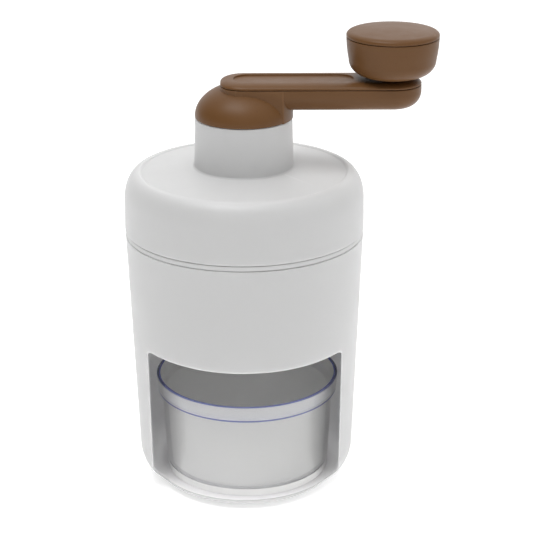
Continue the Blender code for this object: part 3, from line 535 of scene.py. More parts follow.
def make_body_shell():
    round_top = BASE_Z + BASE_ROUND
    side_r = BODY_TOP_R - BODY_TAPER * (BODY_TOP - round_top)
    inner_r = side_r - BODY_WALL
    rim_drop = 0.6
    rim_in = BODY_TAPER * rim_drop
    outer = [(PAD_R + 0.8, BASE_Z)]
    outer += arc(BASE_FLAT_R, round_top, side_r - BASE_FLAT_R, BASE_ROUND, -90.0, 0.0, BASE_STEPS)
    outer.append((BODY_TOP_R - rim_in, BODY_TOP - rim_drop))
    inner = [(12.0, FLOOR_Z)]
    inner += arc(FLOOR_R, round_top, inner_r - FLOOR_R, round_top - FLOOR_Z, -90.0, 0.0, BASE_STEPS)
    inner.append((BODY_TOP_R - BODY_WALL - rim_in, BODY_TOP - rim_drop))
    outline, middles = window_outline()
    x, z = outline[:, 0], outline[:, 1]
    sill = np.clip((WINDOW_LOW_ROUND + FLOOR_Z - z) / WINDOW_LOW_ROUND, 0.0, 1.0)
    soft = EDGE_SIDE + (EDGE_SILL - EDGE_SIDE) * sill * sill * (3.0 - 2.0 * sill)
    bends = np.radians(np.linspace(0.0, 90.0, 8))
    rings = []
    for profile, width, inward in ((outer, soft, 1.0), (inner, np.full(len(x), EDGE_INNER), -1.0)):
        skin = Skin(profile)
        s = skin.length_at(z)
        theta = np.arcsin(x / skin.radius(s))
        edge = skin.points(theta, s)
        along = (np.roll(theta, -1) - np.roll(theta, 1)) * skin.radius(s)
        up = np.roll(s, -1) - np.roll(s, 1)
        size = np.hypot(along, up)
        theta_out = theta + width * up / size / skin.radius(s)
        s_out = s - width * along / size
        start = skin.points(theta_out, s_out)
        end = edge + np.stack([0.0 * width, inward * width, 0.0 * width], 1)
        across, through = start - edge, end - edge
        bend = [edge + across * (1.0 - math.sin(a)) + through * (1.0 - math.cos(a)) for a in bends]
        far_theta, far_s = far_edge(len(x), middles, skin.s[-1])
        grid = []
        for step in range(1, OUTWARD + 1):
            share = (step / OUTWARD) ** 1.4
            theta_here = theta_out + (far_theta - theta_out) * share
            grid.append(skin.points(theta_here, s_out + (far_s - s_out) * share))
        rings.append(grid[::-1] + bend)
    outside, inside = rings
    loops = outside + inside[::-1]
    bm = bmesh.new()
    made = [[bm.verts.new(point) for point in loop] for loop in loops]
    count = len(x)
    tube(bm, made)

    def strip(first, last, profile, start, stop):
        """Rings along part of the far edge, from one loop to another or to the middle."""
        indices = [index % count for index in range(start, stop + 1)]
        previous = [first[index] for index in indices]
        for r, height in profile:
            angles = [math.atan2(vertex.co.x, -vertex.co.y) for vertex in previous]
            ring = [bm.verts.new((r * math.sin(a), -r * math.cos(a), height)) for a in angles]
            join(previous, ring)
            previous = ring
        if last:
            join(previous, [last[index] for index in indices])
        else:
            bm.faces.new(previous[:-1])

    def join(one, other):
        for index in range(len(one) - 1):
            bm.faces.new((one[index], one[index + 1], other[index + 1], other[index]))

    rim_r = 0.5
    rim = arc(BODY_TOP_R - rim_r, BODY_TOP - rim_r, rim_r, rim_r, 0.0, 90.0, 5)
    rim += arc(BODY_TOP_R - BODY_WALL + rim_r, BODY_TOP - rim_r, rim_r, rim_r, 90.0, 180.0, 5)
    strip(made[0], made[-1], rim, middles[1], middles[2])
    foot = [(PAD_R + GAP, BASE_Z + 0.4), (PAD_R + GAP, PAD_TOP + GAP), (8.0, PAD_TOP + GAP)]
    strip(made[0], None, foot, middles[3], count)
    strip(made[-1], None, [(6.0, FLOOR_Z)], middles[3], count)
    bmesh.ops.remove_doubles(bm, verts=bm.verts, dist=0.0005)
    # The inner faces take the second slot, the brighter copy of the white plastic with painted light.
    for vertex in [vertex for loop in made[len(outside) :] for vertex in loop if vertex.is_valid]:
        for face in vertex.link_faces:
            face.material_index = 1
    shell = make("housing_shell", bm, "housing", "white_plastic", "body_shell", sharp=50.0)
    shell.data.materials.append(MATERIALS["painted_light_wall"])


def make_base_pad():
    corners = [(0.0, 0.0), (PAD_R, 0.0, 0.45), (PAD_R, PAD_TOP, 0.15), (0.0, PAD_TOP)]
    pad = turned(filleted(corners, closed=False))
    make("base_pad_soft", pad, "housing", "grey_rubber", "base_pad")


# ------- hopper and blade

FLANGE_R, FLANGE_LOW, FLANGE_TOP = 59.55, 134.3, 136.7
MOUTH_R, MOUTH_WALL, MOUTH_LOW = 52.0, 2.2, 123.5
BARREL_R, BARREL_WALL = 47.8, 2.2
HOPPER_FLOOR, HOPPER_FLOOR_THICK = 87.0, 3.0
RIB_R, RIB_LOW = 56.9, 130.5
LUG_ANGLES = (0.0, 120.0, 240.0)
LUG_INNER_R, LUG_LOW, LUG_TOP, LUG_HALF = 49.7, 130.0, 133.0, 22.0
LUG_STOP_LOW, LUG_STOP_FROM, LUG_STOP_TO = 125.5, -18.0, -11.7
BLADE_EDGE_Y, BLADE_EDGE_Z, BLADE_SLOPE = -1.5, 87.4, 27.0
BLADE_FROM_X, BLADE_TO_X, BLADE_WIDTH = -42.5, -7.5, 13.0
THROAT_WIDTH, THROAT_DEPTH = 6.5, 24.0
BLADE_SCREW_X, BLADE_SCREW_Y = (-35.0, -15.0), 9.5
BLADE_BED_X, BLADE_BED_Y, BLADE_BED_LOW = (-46.0, -4.0), (1.0, 14.0), 78.0
HOLE_R, BLADE_HOLE_DEPTH = 1.6, 2.4


def lugs(inner, outer, start, end, low, high, steps=16):
    """The bayonet's three lugs or stops, each between two angles from its own place."""
    outlines = [sector(inner, outer, angle + start, angle + end, steps) for angle in LUG_ANGLES]
    return gathered(prism(outline, low, high) for outline in outlines)


def make_hopper():
    barrel_out, mouth_out = BARREL_R + BARREL_WALL, MOUTH_R + MOUTH_WALL
    floor_low = HOPPER_FLOOR - HOPPER_FLOOR_THICK
    profile = filleted(
        [
            (0.0, HOPPER_FLOOR),
            (BARREL_R, HOPPER_FLOOR, 2.0),
            (BARREL_R, MOUTH_LOW, 0.6),
            (MOUTH_R, MOUTH_LOW, 0.8),
            (MOUTH_R, FLANGE_TOP, 0.4),
            (FLANGE_R, FLANGE_TOP, 0.35),
            (FLANGE_R, FLANGE_LOW, 0.35),
            (RIB_R, FLANGE_LOW),
            (RIB_R, RIB_LOW, 0.4),
            (mouth_out, RIB_LOW, 0.5),
            (mouth_out, MOUTH_LOW - MOUTH_WALL, 1.0),
            (barrel_out, MOUTH_LOW - MOUTH_WALL, 1.0),
            (barrel_out, floor_low, 1.5),
            (0.0, floor_low),
        ],
        closed=False,
        steps=5,
    )
    into_wall = MOUTH_R + 1.0
    stop_angles, stop_top = (LUG_STOP_FROM, LUG_STOP_TO), LUG_LOW + 1.0
    bed = prism(rectangle(*BLADE_BED_X, *BLADE_BED_Y), BLADE_BED_LOW, HOPPER_FLOOR - 1.0)
    pocket = rectangle(BLADE_FROM_X - GAP, BLADE_TO_X + GAP, -THROAT_WIDTH, BLADE_WIDTH + 2.0 * GAP)
    throat = prism(pocket, -THROAT_DEPTH, GAP)
    rings = [circle(HOLE_R, TINY, x, BLADE_SCREW_Y) for x in BLADE_SCREW_X]
    holes = gathered(prism(ring, -PAST, BLADE_HOLE_DEPTH) for ring in rings)
    for cutter in (throat, holes):
        moved(cutter, 0.0, BLADE_EDGE_Y, BLADE_EDGE_Z, -BLADE_SLOPE)
    hopper = combined(
        turned(profile, LARGE),
        ("UNION", lugs(LUG_INNER_R, into_wall, -LUG_HALF, LUG_HALF, LUG_LOW, LUG_TOP)),
        ("UNION", lugs(LUG_INNER_R, into_wall - 0.2, *stop_angles, LUG_STOP_LOW, stop_top, 4)),
        ("UNION", bed),
        ("DIFFERENCE", throat),
        ("DIFFERENCE", holes),
    )
    make("hopper_moulding", hopper, "housing", "inner_plastic", "hopper")


# ------- bowl

BOWL_X = 0.7
BOWL_FOOT_Z, BOWL_LOW, BOWL_INNER_LOW = 4.9, 5.6, 8.0
BOWL_FOOT_R, BOWL_FOOT_PLACE = 2.9, 32.0
BOWL_FOOT_ANGLES = (-150.0, -30.0, 90.0)


def make_bowl():
    profile = filleted(
        [
            (0.0, BOWL_LOW),
            (42.0, BOWL_LOW, 0.8),
            (42.3, 12.0),
            (42.75, 20.0),
            (43.25, 29.0),
            (43.75, 40.0),
            (44.35, 48.3, 0.25),
            (46.35, 49.1, 0.6),
            (47.1, 57.3, 0.7),
            (44.9, 57.3, 0.7),
            (44.3, 50.4, 1.2),
            (42.0, 48.4, 1.2),
            (41.4, 40.0),
            (40.9, 29.0),
            (40.4, 20.0),
            (39.7, BOWL_INNER_LOW, 4.5),
            (0.0, BOWL_INNER_LOW),
        ],
        closed=False,
    )
    foot_top = BOWL_LOW + 0.6
    foot = [(0.0, BOWL_FOOT_Z), (BOWL_FOOT_R, BOWL_FOOT_Z, 0.3), (BOWL_FOOT_R, foot_top), (0.0, foot_top)]
    foot = filleted(foot, closed=False)
    feet = []
    for angle in BOWL_FOOT_ANGLES:
        x, y = around(BOWL_FOOT_PLACE, angle)
        feet.append(turned(foot, SMALL, BOWL_X + x, y))
    bowl = combined(turned(profile, ROUND, BOWL_X), ("UNION", gathered(feet)))
    make("bowl_clear", bowl, "bowl", "clear_plastic", "bowl")


# ------- lid

LID_LOW, LID_R = 137.0, 60.0
LID_SIDE_TOP, LID_SIDE_R = 152.75, 59.83
LID_RIM_Z, LID_RIM_R = 166.6, 51.9
LID_CREASE_Z, LID_CREASE_R = 165.9, 51.1
LID_WALL = 2.3
NECK_LOW, NECK_LOW_R, NECK_TOP, NECK_TOP_R = 168.8, 24.64, 193.5, 24.02
WEB_LOW, WEB_R = 190.5, 15.0
BUSH_R, BUSH_LOW, BUSH_TOP = 14.7, 186.0, 193.4
BUSH_FLANGE_R, BUSH_FLANGE_LOW, BUSH_FLANGE_TOP = 17.5, 188.4, 190.2
SEAL_INNER_R, SEAL_R, SEAL_LOW, SEAL_TOP = 52.6, 56.4, 137.0, 138.5
SKIRT_INNER_R, SKIRT_R, SKIRT_LOW = 47.0, 49.2, 126.5
INNER_FLANGE_R, INNER_FLANGE_LOW, INNER_FLANGE_TOP = 56.9, 138.8, 140.8
INNER_DISC_LOW, INNER_DISC_TOP = 141.0, 143.0
GUIDE_R, GUIDE_TOP = 15.0, 163.0
LID_SCREW_PLACE, LID_SCREW_ANGLES = 38.0, (30.0, 150.0, 270.0)
LID_LUG_R, LID_LUG_TOP, LID_LUG_HALF, LID_LUG_REST = 51.4, 129.5, 14.0, 39.0
SLEEVE_R = 12.0


def make_lid_shell():
    shoulder_r, shoulder_z = LID_SIDE_R - LID_RIM_R, LID_RIM_Z - LID_SIDE_TOP
    inner_r, inner_z = shoulder_r + 1.0 - LID_WALL, shoulder_z - 3.6
    corners = [(LID_R - LID_WALL, LID_LOW, 0.4), (LID_R, LID_LOW, 0.45)]
    corners.append((LID_SIDE_R + 0.06, LID_SIDE_TOP - 4.0))
    corners += arc(LID_RIM_R, LID_SIDE_TOP, shoulder_r, shoulder_z, 0.0, 84.0, 28)
    corners += [
        (LID_RIM_R, LID_RIM_Z, 0.7),
        (LID_CREASE_R, LID_CREASE_Z, 0.9),
        (NECK_LOW_R + 0.9, NECK_LOW, 0.5),
        (NECK_LOW_R, NECK_LOW + 0.6, 0.5),
        (NECK_TOP_R, NECK_TOP, 0.35),
        (WEB_R, NECK_TOP, 0.3),
        (WEB_R, WEB_LOW, 0.3),
        (NECK_TOP_R - LID_WALL, WEB_LOW, 1.0),
        (NECK_LOW_R - LID_WALL, NECK_LOW - LID_WALL, 1.0),
        (LID_CREASE_R - 1.6, LID_CREASE_Z - LID_WALL),
    ]
    corners += arc(LID_RIM_R - 1.0, LID_SIDE_TOP, inner_r, inner_z, 80.0, 0.0, 14)
    make("lid_outer_shell", turned(filleted(corners)), "lid", "white_plastic", "lid_shell")


def make_lid_seal():
    profile = filleted(
        [
            (SEAL_INNER_R, SEAL_LOW, 0.4),
            (SEAL_R, SEAL_LOW, 0.4),
            (SEAL_R, SEAL_TOP, 0.4),
            (54.9, SEAL_TOP, 0.1),
            (54.5, SEAL_TOP - 0.4, 0.1),
            (54.1, SEAL_TOP, 0.1),
            (SEAL_INNER_R, SEAL_TOP, 0.4),
        ],
        steps=4,
    )
    make("lid_seal_ring", turned(profile, LARGE), "seal", "grey_rubber", "lid_seal")


def make_inner_lid():
    bore_r = SLEEVE_R + GAP + 0.1
    profile = filleted(
        [
            (bore_r, INNER_DISC_LOW, 0.3),
            (SKIRT_INNER_R, INNER_DISC_LOW, 1.5),
            (SKIRT_INNER_R, SKIRT_LOW, 0.6),
            (SKIRT_R, SKIRT_LOW, 0.6),
            (SKIRT_R, INNER_FLANGE_LOW, 0.4),
            (INNER_FLANGE_R, INNER_FLANGE_LOW, 0.5),
            (INNER_FLANGE_R, INNER_FLANGE_TOP, 0.5),
            (SKIRT_R, INNER_FLANGE_TOP, 0.5),
            (SKIRT_R, INNER_DISC_TOP, 0.6),
            (GUIDE_R, INNER_DISC_TOP, 1.0),
            (GUIDE_R, GUIDE_TOP, 0.4),
            (bore_r, GUIDE_TOP, 0.4),
        ],
        steps=4,
    )
    lug_angles = (LID_LUG_REST - LID_LUG_HALF, LID_LUG_REST + LID_LUG_HALF)
    ribs = spokes(12, 15.0, rectangle(16.5, 34.0, -0.7, 0.7), INNER_DISC_LOW - 1.2, INNER_DISC_LOW + 0.5)
    holes = []
    for angle in LID_SCREW_ANGLES:
        ring = circle(HOLE_R, TINY, *around(LID_SCREW_PLACE, angle))
        holes.append(prism(ring, INNER_DISC_LOW - PAST, INNER_DISC_TOP + PAST))
    inner = combined(
        turned(profile, LARGE),
        ("UNION", lugs(SKIRT_R - 1.0, LID_LUG_R, *lug_angles, SKIRT_LOW, LID_LUG_TOP)),
        ("UNION", ribs),
        ("DIFFERENCE", gathered(holes)),
    )
    make("inner_lid_moulding", inner, "lid", "inner_plastic", "inner_lid")


def make_neck_bush():
    bore_r = SLEEVE_R + GAP
    profile = filleted(
        [
            (bore_r, BUSH_LOW, 0.3),
            (BUSH_R, BUSH_LOW, 0.4),
            (BUSH_R, BUSH_FLANGE_LOW, 0.2),
            (BUSH_FLANGE_R, BUSH_FLANGE_LOW, 0.3),
            (BUSH_FLANGE_R, BUSH_FLANGE_TOP, 0.3),
            (BUSH_R, BUSH_FLANGE_TOP, 0.2),
            (BUSH_R, BUSH_TOP, 0.3),
            (bore_r, BUSH_TOP, 0.3),
        ],
        steps=4,
    )
    make("neck_bush_turned", turned(profile, FINE), "lid", "nylon", "neck_bush")


# ------- crank

HUB_LOW, HUB_R, DOME_HEIGHT, DOME_TOP = 193.8, 24.1, 16.9, 209.5
HUB_CEILING, HUB_CEILING_R, HUB_WALL, HUB_HOLLOW_BEND_Z = 203.5, 18.0, 2.5, 195.0
HUB_SCREW_PLACE, HUB_SCREW_ANGLES = 14.8, (90.0, 210.0, 330.0)
BLOCK_HALF, BLOCK_R, BLOCK_TOP = 14.7, 24.4, 209.8
ARM_HALF, ARM_FLAT, ARM_LEFT_X = 14.5, 3.0, 0.1
ARM_LOW, ARM_TOP, ARM_ROUND, ARM_WALL = 198.9, 210.05, 8.0, 2.2
TRAY_DEEP, TRAY_DEEP_X, TRAY_SHALLOW = 201.1, 37.5, 207.0
COVER_LOW, COVER_TOP, COVER_CROWN, COVER_PLUG_LOW, COVER_PLUG_INSET = 210.35, 213.0, 6.0, 208.2, 2.5
RECESS_FROM_X, RECESS_TO_X, RECESS_HALF, RECESS_FLAT, RECESS_DEPTH = 2.8, 46.0, 7.95, 0.2, 0.9
SLEEVE_LOW, SLEEVE_TOP, SLEEVE_GUIDE_TOP, SLEEVE_BORE_R = 150.0, 203.2, 158.0, 9.7
SLEEVE_HEAD_R, SLEEVE_HEAD_LOW = 17.6, 196.0
GROOVE_LOW, GROOVE_TOP, GROOVE_R = 184.0, 185.7, 11.0
HEX_FLATS = 14.6
SPRING_R, SPRING_WIRE, SPRING_TURNS, SPRING_LOW, SPRING_TOP = 4.2, 0.45, 16, 104.3, 203.2
KNOB_X = 72.7
PIN_R, PIN_FLANGE_R, PIN_LOW, PIN_FLANGE_TOP, PIN_TOP = 4.0, 6.5, 201.4, 203.4, 228.0
PIN_RECESS_R, PIN_RECESS_DEPTH = 3.2, 1.0
PARTING = 0.35  # how far the edges at the parting line are rounded


def rounded_levels(half, low, high, lower_round, x_from):
    """The arm's outlines from its underside up, with its lower and upper edges rounded."""
    levels = []
    for run, height in arc(0.0, 0.0, lower_round, lower_round, 90.0, 0.0, 14):
        outline = stadium(x_from, KNOB_X, half - lower_round + run, ARM_FLAT)
        levels.append((outline, low + lower_round - height))
    for run, height in arc(0.0, 0.0, PARTING, PARTING, 0.0, 90.0, 4):
        outline = stadium(x_from, KNOB_X, half - PARTING + run, ARM_FLAT)
        levels.append((outline, high - PARTING + height))
    return levels


def block_outline():
    """The hub's square side, seen from above: its corners on the hub's round are a little softened."""
    corner = math.degrees(math.asin(BLOCK_HALF / BLOCK_R))
    soft = 1.6
    front = arc(0.0, 0.0, BLOCK_R, BLOCK_R, -corner + soft, corner - soft, 40)
    tip = Vector(around(BLOCK_R, corner))
    start, end = Vector(front[-1]), Vector((tip.x - 0.7, BLOCK_HALF))
    bend = []
    for step in range(1, 6):
        share = step / 5.0
        bend.append(tuple(start * (1 - share) ** 2 + tip * 2 * share * (1 - share) + end * share**2))
    mirrored = [(x, -y) for x, y in reversed(bend)]
    inside_arm = ARM_HALF - 0.4
    left = [(8.0, BLOCK_HALF), (-4.0, inside_arm), (-4.0, -inside_arm), (8.0, -BLOCK_HALF)]
    return mirrored + front + bend + left


def make_crank_arm():
    dome_end = math.degrees(math.asin((DOME_TOP - HUB_LOW) / DOME_HEIGHT))
    dome = [(0.0, HUB_LOW), (HUB_R - 0.4, HUB_LOW), (HUB_R - 0.1, HUB_LOW + 0.15)]
    dome += arc(0.0, HUB_LOW + 0.5, HUB_R, DOME_HEIGHT - 0.5, 0.0, dome_end, 40) + [(0.0, DOME_TOP)]
    arm = loft(rounded_levels(ARM_HALF, ARM_LOW, ARM_TOP, ARM_ROUND, ARM_LEFT_X))
    block = prism(block_outline(), HUB_LOW, BLOCK_TOP)
    inner_r, inner_half, below = HUB_R - HUB_WALL, ARM_HALF - ARM_WALL, HUB_LOW - 3.0 * PAST
    bend_r, bend_z = inner_r - HUB_CEILING_R, HUB_CEILING - HUB_HOLLOW_BEND_Z
    hollow = [(0.0, below), (inner_r, below)]
    hollow += arc(HUB_CEILING_R, HUB_HOLLOW_BEND_Z, bend_r, bend_z, 0.0, 90.0, 12)
    hollow += [(0.0, HUB_CEILING)]
    shallow = prism(stadium(ARM_LEFT_X, KNOB_X, inner_half, ARM_FLAT), TRAY_SHALLOW, ARM_TOP + 2.0 * PAST)
    deep = loft(rounded_levels(inner_half, TRAY_DEEP, ARM_TOP + 3.0 * PAST, ARM_ROUND - 2.0, TRAY_DEEP_X))
    recess = prism(circle(PIN_RECESS_R, x=KNOB_X), ARM_LOW - 3.0 * PAST, ARM_LOW + PIN_RECESS_DEPTH)
    hole = prism(circle(HOLE_R, TINY, KNOB_X), ARM_LOW, TRAY_DEEP + PAST)
    crank = combined(
        turned(dome),
        ("UNION", arm),
        ("UNION", block),
        ("DIFFERENCE", turned(hollow, FINE)),
        ("DIFFERENCE", shallow),
        ("DIFFERENCE", deep),
        ("DIFFERENCE", recess),
        ("DIFFERENCE", hole),
    )
    make("crank_arm_moulding", crank, "crank", "brown_plastic", "crank_arm", sharp=24.0, even=True)


def make_arm_cover():
    """The cover is one loft: its plug, its parting edge, its crown, and the long recess in its top."""

    def outer(inset, z):
        return stadium(ARM_LEFT_X, KNOB_X, ARM_HALF - inset, ARM_FLAT), z

    levels = [
        outer(COVER_PLUG_INSET + 0.3, COVER_PLUG_LOW),
        outer(COVER_PLUG_INSET, COVER_PLUG_LOW + 0.3),
        outer(COVER_PLUG_INSET, COVER_LOW - 0.3),
        outer(COVER_PLUG_INSET, COVER_LOW),
        outer(PARTING, COVER_LOW),
        outer(0.5 * PARTING, COVER_LOW + 0.06),
        outer(0.0, COVER_LOW + PARTING),
    ]
    rise = COVER_TOP - COVER_LOW - PARTING
    for run, height in arc(0.0, 0.0, COVER_CROWN, rise, 6.0, 90.0, 18):
        levels.append(outer(COVER_CROWN - run, COVER_LOW + PARTING + height))
    edge = 0.5
    for share in (0.35, 0.7):
        x_from = ARM_LEFT_X + (RECESS_FROM_X - ARM_LEFT_X) * share
        x_to = KNOB_X + (RECESS_TO_X - KNOB_X) * share
        half = (ARM_HALF - COVER_CROWN) * (1.0 - share) + (RECESS_HALF + edge) * share
        flat = ARM_FLAT + (RECESS_FLAT - ARM_FLAT) * share
        levels.append((stadium(x_from, x_to, half, flat), COVER_TOP))
    recess = arc(RECESS_HALF + edge, COVER_TOP - edge, edge, edge, 90.0, 180.0, 5)
    floor = COVER_TOP - RECESS_DEPTH
    recess += arc(RECESS_HALF - 0.3, floor + 0.3, 0.3, 0.3, 0.0, -90.0, 4)
    recess += [(RECESS_HALF - 0.9, floor), (RECESS_HALF - 2.5, floor), (RECESS_HALF - 5.0, floor)]
    levels += [(stadium(RECESS_FROM_X, RECESS_TO_X, half, RECESS_FLAT), z) for half, z in recess]
    hole = prism(circle(PIN_R + GAP, x=KNOB_X), COVER_PLUG_LOW - PAST, COVER_TOP + PAST)
    cover = combined(loft(levels), ("DIFFERENCE", hole))
    make("arm_cover_moulding", cover, "crank", "brown_plastic", "arm_cover", sharp=40.0, even=True)


def make_drive_sleeve():
    profile = filleted(
        [
            (0.0, SLEEVE_LOW),
            (SLEEVE_R, SLEEVE_LOW, 0.6),
            (SLEEVE_R, GROOVE_LOW, 0.15),
            (GROOVE_R, GROOVE_LOW, 0.15),
            (GROOVE_R, GROOVE_TOP, 0.15),
            (SLEEVE_R, GROOVE_TOP, 0.15),
            (SLEEVE_R, SLEEVE_HEAD_LOW, 0.5),
            (SLEEVE_HEAD_R, SLEEVE_HEAD_LOW, 0.5),
            (SLEEVE_HEAD_R, SLEEVE_TOP, 0.4),
            (0.0, SLEEVE_TOP),
        ],
        closed=False,
        steps=4,
    )
    guide = prism(hexagon(HEX_FLATS, 0.4), SLEEVE_LOW - 2.0 * PAST, SLEEVE_GUIDE_TOP + 4.0 * PAST)
    bore = prism(circle(SLEEVE_BORE_R, FINE), SLEEVE_GUIDE_TOP, SLEEVE_TOP + 2.0 * PAST)
    sleeve = combined(turned(profile, FINE), ("DIFFERENCE", guide), ("DIFFERENCE", bore))
    make("drive_sleeve_turned", sleeve, "crank", "nylon", "drive_sleeve")


def make_spring():
    """The feed spring as one fixed coil; in use its top end stays put as the rest shortens."""
    per_turn, sides = 30, 10
    low, high = SPRING_LOW + SPRING_WIRE, SPRING_TOP - SPRING_WIRE
    bm = bmesh.new()
    rings = []
    count = SPRING_TURNS * per_turn
    for step in range(count + 1):
        angle = 2.0 * math.pi * step / per_turn
        z = low + (high - low) * step / count
        centre = Vector((SPRING_R * math.cos(angle), SPRING_R * math.sin(angle), z))
        outward = Vector((math.cos(angle), math.sin(angle), 0.0))
        ring = []
        for side in range(sides):
            turn = 2.0 * math.pi * side / sides
            offset = outward * math.cos(turn) + Vector((0.0, 0.0, 1.0)) * math.sin(turn)
            ring.append(bm.verts.new(centre + offset * SPRING_WIRE))
        rings.append(ring)
    tube(bm, rings)
    bm.faces.new(rings[0])
    bm.faces.new(rings[-1])
    spring = make("feed_spring_coil", bm, "crank", "steel", "feed_spring")
    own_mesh(spring)


# ------- pusher

PLATE_R, PLATE_LOW, PLATE_TOP, PLATE_BOSS_R, PLATE_BOSS_TOP = 44.5, 93.0, 96.0, 11.6, 101.0
SPIKE_R, SPIKE_TIP_R, SPIKE_LOW = 1.8, 0.4, 88.0
SPIKE_ROWS = ((39.0, 6, 0.0), (26.0, 4, 20.0))  # distance from the axis, how many, first angle
SHAFT_FLATS, SHAFT_LOW, SHAFT_BORE_R, SHAFT_BORE_LOW = 14.0, 96.3, 5.2, 104.0
COLLAR_LOW, COLLAR_TOP, COLLAR_R = 158.3, 162.0, 9.4
PUSHER_HOLE_R = 1.8


def make_pusher():
    profile = filleted(
        [
            (0.0, PLATE_LOW),
            (PLATE_R, PLATE_LOW, 0.8),
            (PLATE_R, PLATE_TOP, 0.8),
            (PLATE_BOSS_R, PLATE_TOP, 1.5),
            (PLATE_BOSS_R, PLATE_BOSS_TOP, 0.5),
            (0.0, PLATE_BOSS_TOP),
        ],
        closed=False,
        steps=5,
    )
    spike = [
        (0.0, SPIKE_LOW),
        (SPIKE_TIP_R * 0.7, SPIKE_LOW),
        (SPIKE_TIP_R, SPIKE_LOW + 0.15),
        (SPIKE_R, PLATE_LOW + 0.3),
        (SPIKE_R, PLATE_LOW + 0.8),
        (0.0, PLATE_LOW + 0.8),
    ]
    spikes = []
    for distance, count, first in SPIKE_ROWS:
        for step in range(count):
            spikes.append(turned(spike, TINY, *around(distance, first + 360.0 * step / count)))
    rib = rectangle(PLATE_BOSS_R - 1.0, 38.0, -0.8, 0.8)
    plate = combined(
        turned(profile, LARGE),
        ("UNION", gathered(spikes)),
        ("UNION", spokes(4, 45.0, rib, PLATE_TOP - 0.5, PLATE_TOP + 2.4)),
        ("DIFFERENCE", prism(hexagon(HEX_FLATS, 0.4), PLATE_TOP, PLATE_BOSS_TOP + 2.0 * PAST)),
        ("DIFFERENCE", prism(circle(PUSHER_HOLE_R, TINY), PLATE_LOW - 2.0 * PAST, PLATE_TOP + PAST)),
    )
    make("pusher_plate_moulding", plate, "pusher", "nylon", "pusher_plate")
    shaft = combined(
        prism(hexagon(SHAFT_FLATS, 0.8), SHAFT_LOW, COLLAR_TOP - 0.5),
        ("UNION", prism(circle(COLLAR_R, FINE), COLLAR_LOW, COLLAR_TOP)),
        ("DIFFERENCE", prism(circle(SHAFT_BORE_R, SMALL), SHAFT_BORE_LOW, COLLAR_TOP + 2.0 * PAST)),
    )
    make("pusher_shaft_moulding", shaft, "pusher", "nylon", "pusher_shaft", sharp=24.0)


# ------- knob

KNOB_LOW, KNOB_FLAT_R, KNOB_BELLY_Z, KNOB_BELLY_R = 214.3, 11.5, 222.5, 21.4
KNOB_SEAM, KNOB_SEAM_R, KNOB_TOP, KNOB_WALL = 233.6, 22.66, 237.5, 2.4
KNOB_BOSS_R, KNOB_BOSS_TOP = 7.2, 227.6
CAP_SHOULDER_R, CAP_SHOULDER_Z, CAP_PLUG_WALL = 19.2, 234.5, 1.6
CAP_CROWN = ((0.0, 0.0), (5.0, 0.04), (9.0, 0.15), (13.0, 0.36), (16.0, 0.58), (18.2, 0.8))
WASHER_HOLE_R, WASHER_R, WASHER_LOW, WASHER_TOP = 1.6, 7.0, 228.3, 229.3


def make_knob():
    seam = KNOB_SEAM - GAP / 2.0
    inner_r, floor = KNOB_SEAM_R - KNOB_WALL, KNOB_LOW + KNOB_WALL
    belly_r, belly_z = KNOB_BELLY_R - KNOB_FLAT_R, KNOB_BELLY_Z - KNOB_LOW
    body = [(PIN_R + GAP, KNOB_LOW, 0.3)]
    body += arc(KNOB_FLAT_R, KNOB_BELLY_Z, belly_r, belly_z, -90.0, 0.0, 26)
    body += [
        (21.95, 225.6),
        (22.4, 229.3),
        (KNOB_SEAM_R, seam, 0.4),
        (inner_r, seam, 0.3),
        (inner_r - 1.2, KNOB_BELLY_Z + 0.5),
        (KNOB_FLAT_R + 1.0, floor, 1.0),
        (KNOB_BOSS_R, floor, 0.5),
        (KNOB_BOSS_R, KNOB_BOSS_TOP, 0.3),
        (PIN_R + GAP, KNOB_BOSS_TOP, 0.3),
    ]
    make("knob_body_moulding", turned(filleted(body), ROUND, KNOB_X), "knob", "brown_plastic", "knob_body")
    seam = KNOB_SEAM + GAP / 2.0
    plug_r, plug_low = inner_r - GAP, KNOB_SEAM - 2.2
    shoulder_r, shoulder_z = KNOB_SEAM_R - CAP_SHOULDER_R, KNOB_TOP - 0.92 - CAP_SHOULDER_Z
    cap = [(r, KNOB_TOP - drop) for r, drop in CAP_CROWN]
    cap += arc(CAP_SHOULDER_R, CAP_SHOULDER_Z, shoulder_r, shoulder_z, 80.0, 0.0, 20)
    cap += [
        (KNOB_SEAM_R, seam, 0.3),
        (plug_r, seam),
        (plug_r, plug_low, 0.2),
        (plug_r - CAP_PLUG_WALL, plug_low, 0.2),
        (plug_r - CAP_PLUG_WALL, KNOB_SEAM + 1.0, 0.5),
        (0.0, KNOB_SEAM + 1.9),
    ]
    cap = turned(filleted(cap, closed=False), ROUND, KNOB_X)
    make("knob_cap_moulding", cap, "knob", "brown_plastic", "knob_cap")


# ------- small metal pieces

# The screws' head radius and height, shank radius and length
BLADE_SCREW = (2.6, 1.5, 1.3, 5.3)
LID_SCREW = (3.0, 1.6, 1.2, 13.0)
HUB_SCREW = (2.2, 1.5, 1.2, 8.9)
PUSHER_SCREW = (3.2, 1.8, 1.5, 9.0)
PIN_SCREW = (2.8, 0.65, 1.2, 10.0)
KNOB_SCREW = (3.0, 1.6, 1.2, 9.0)
BLADE_THICK, CLAMP_THICK = 1.2, 1.5
CLAMP_LOW = -BLADE_THICK - GAP - CLAMP_THICK


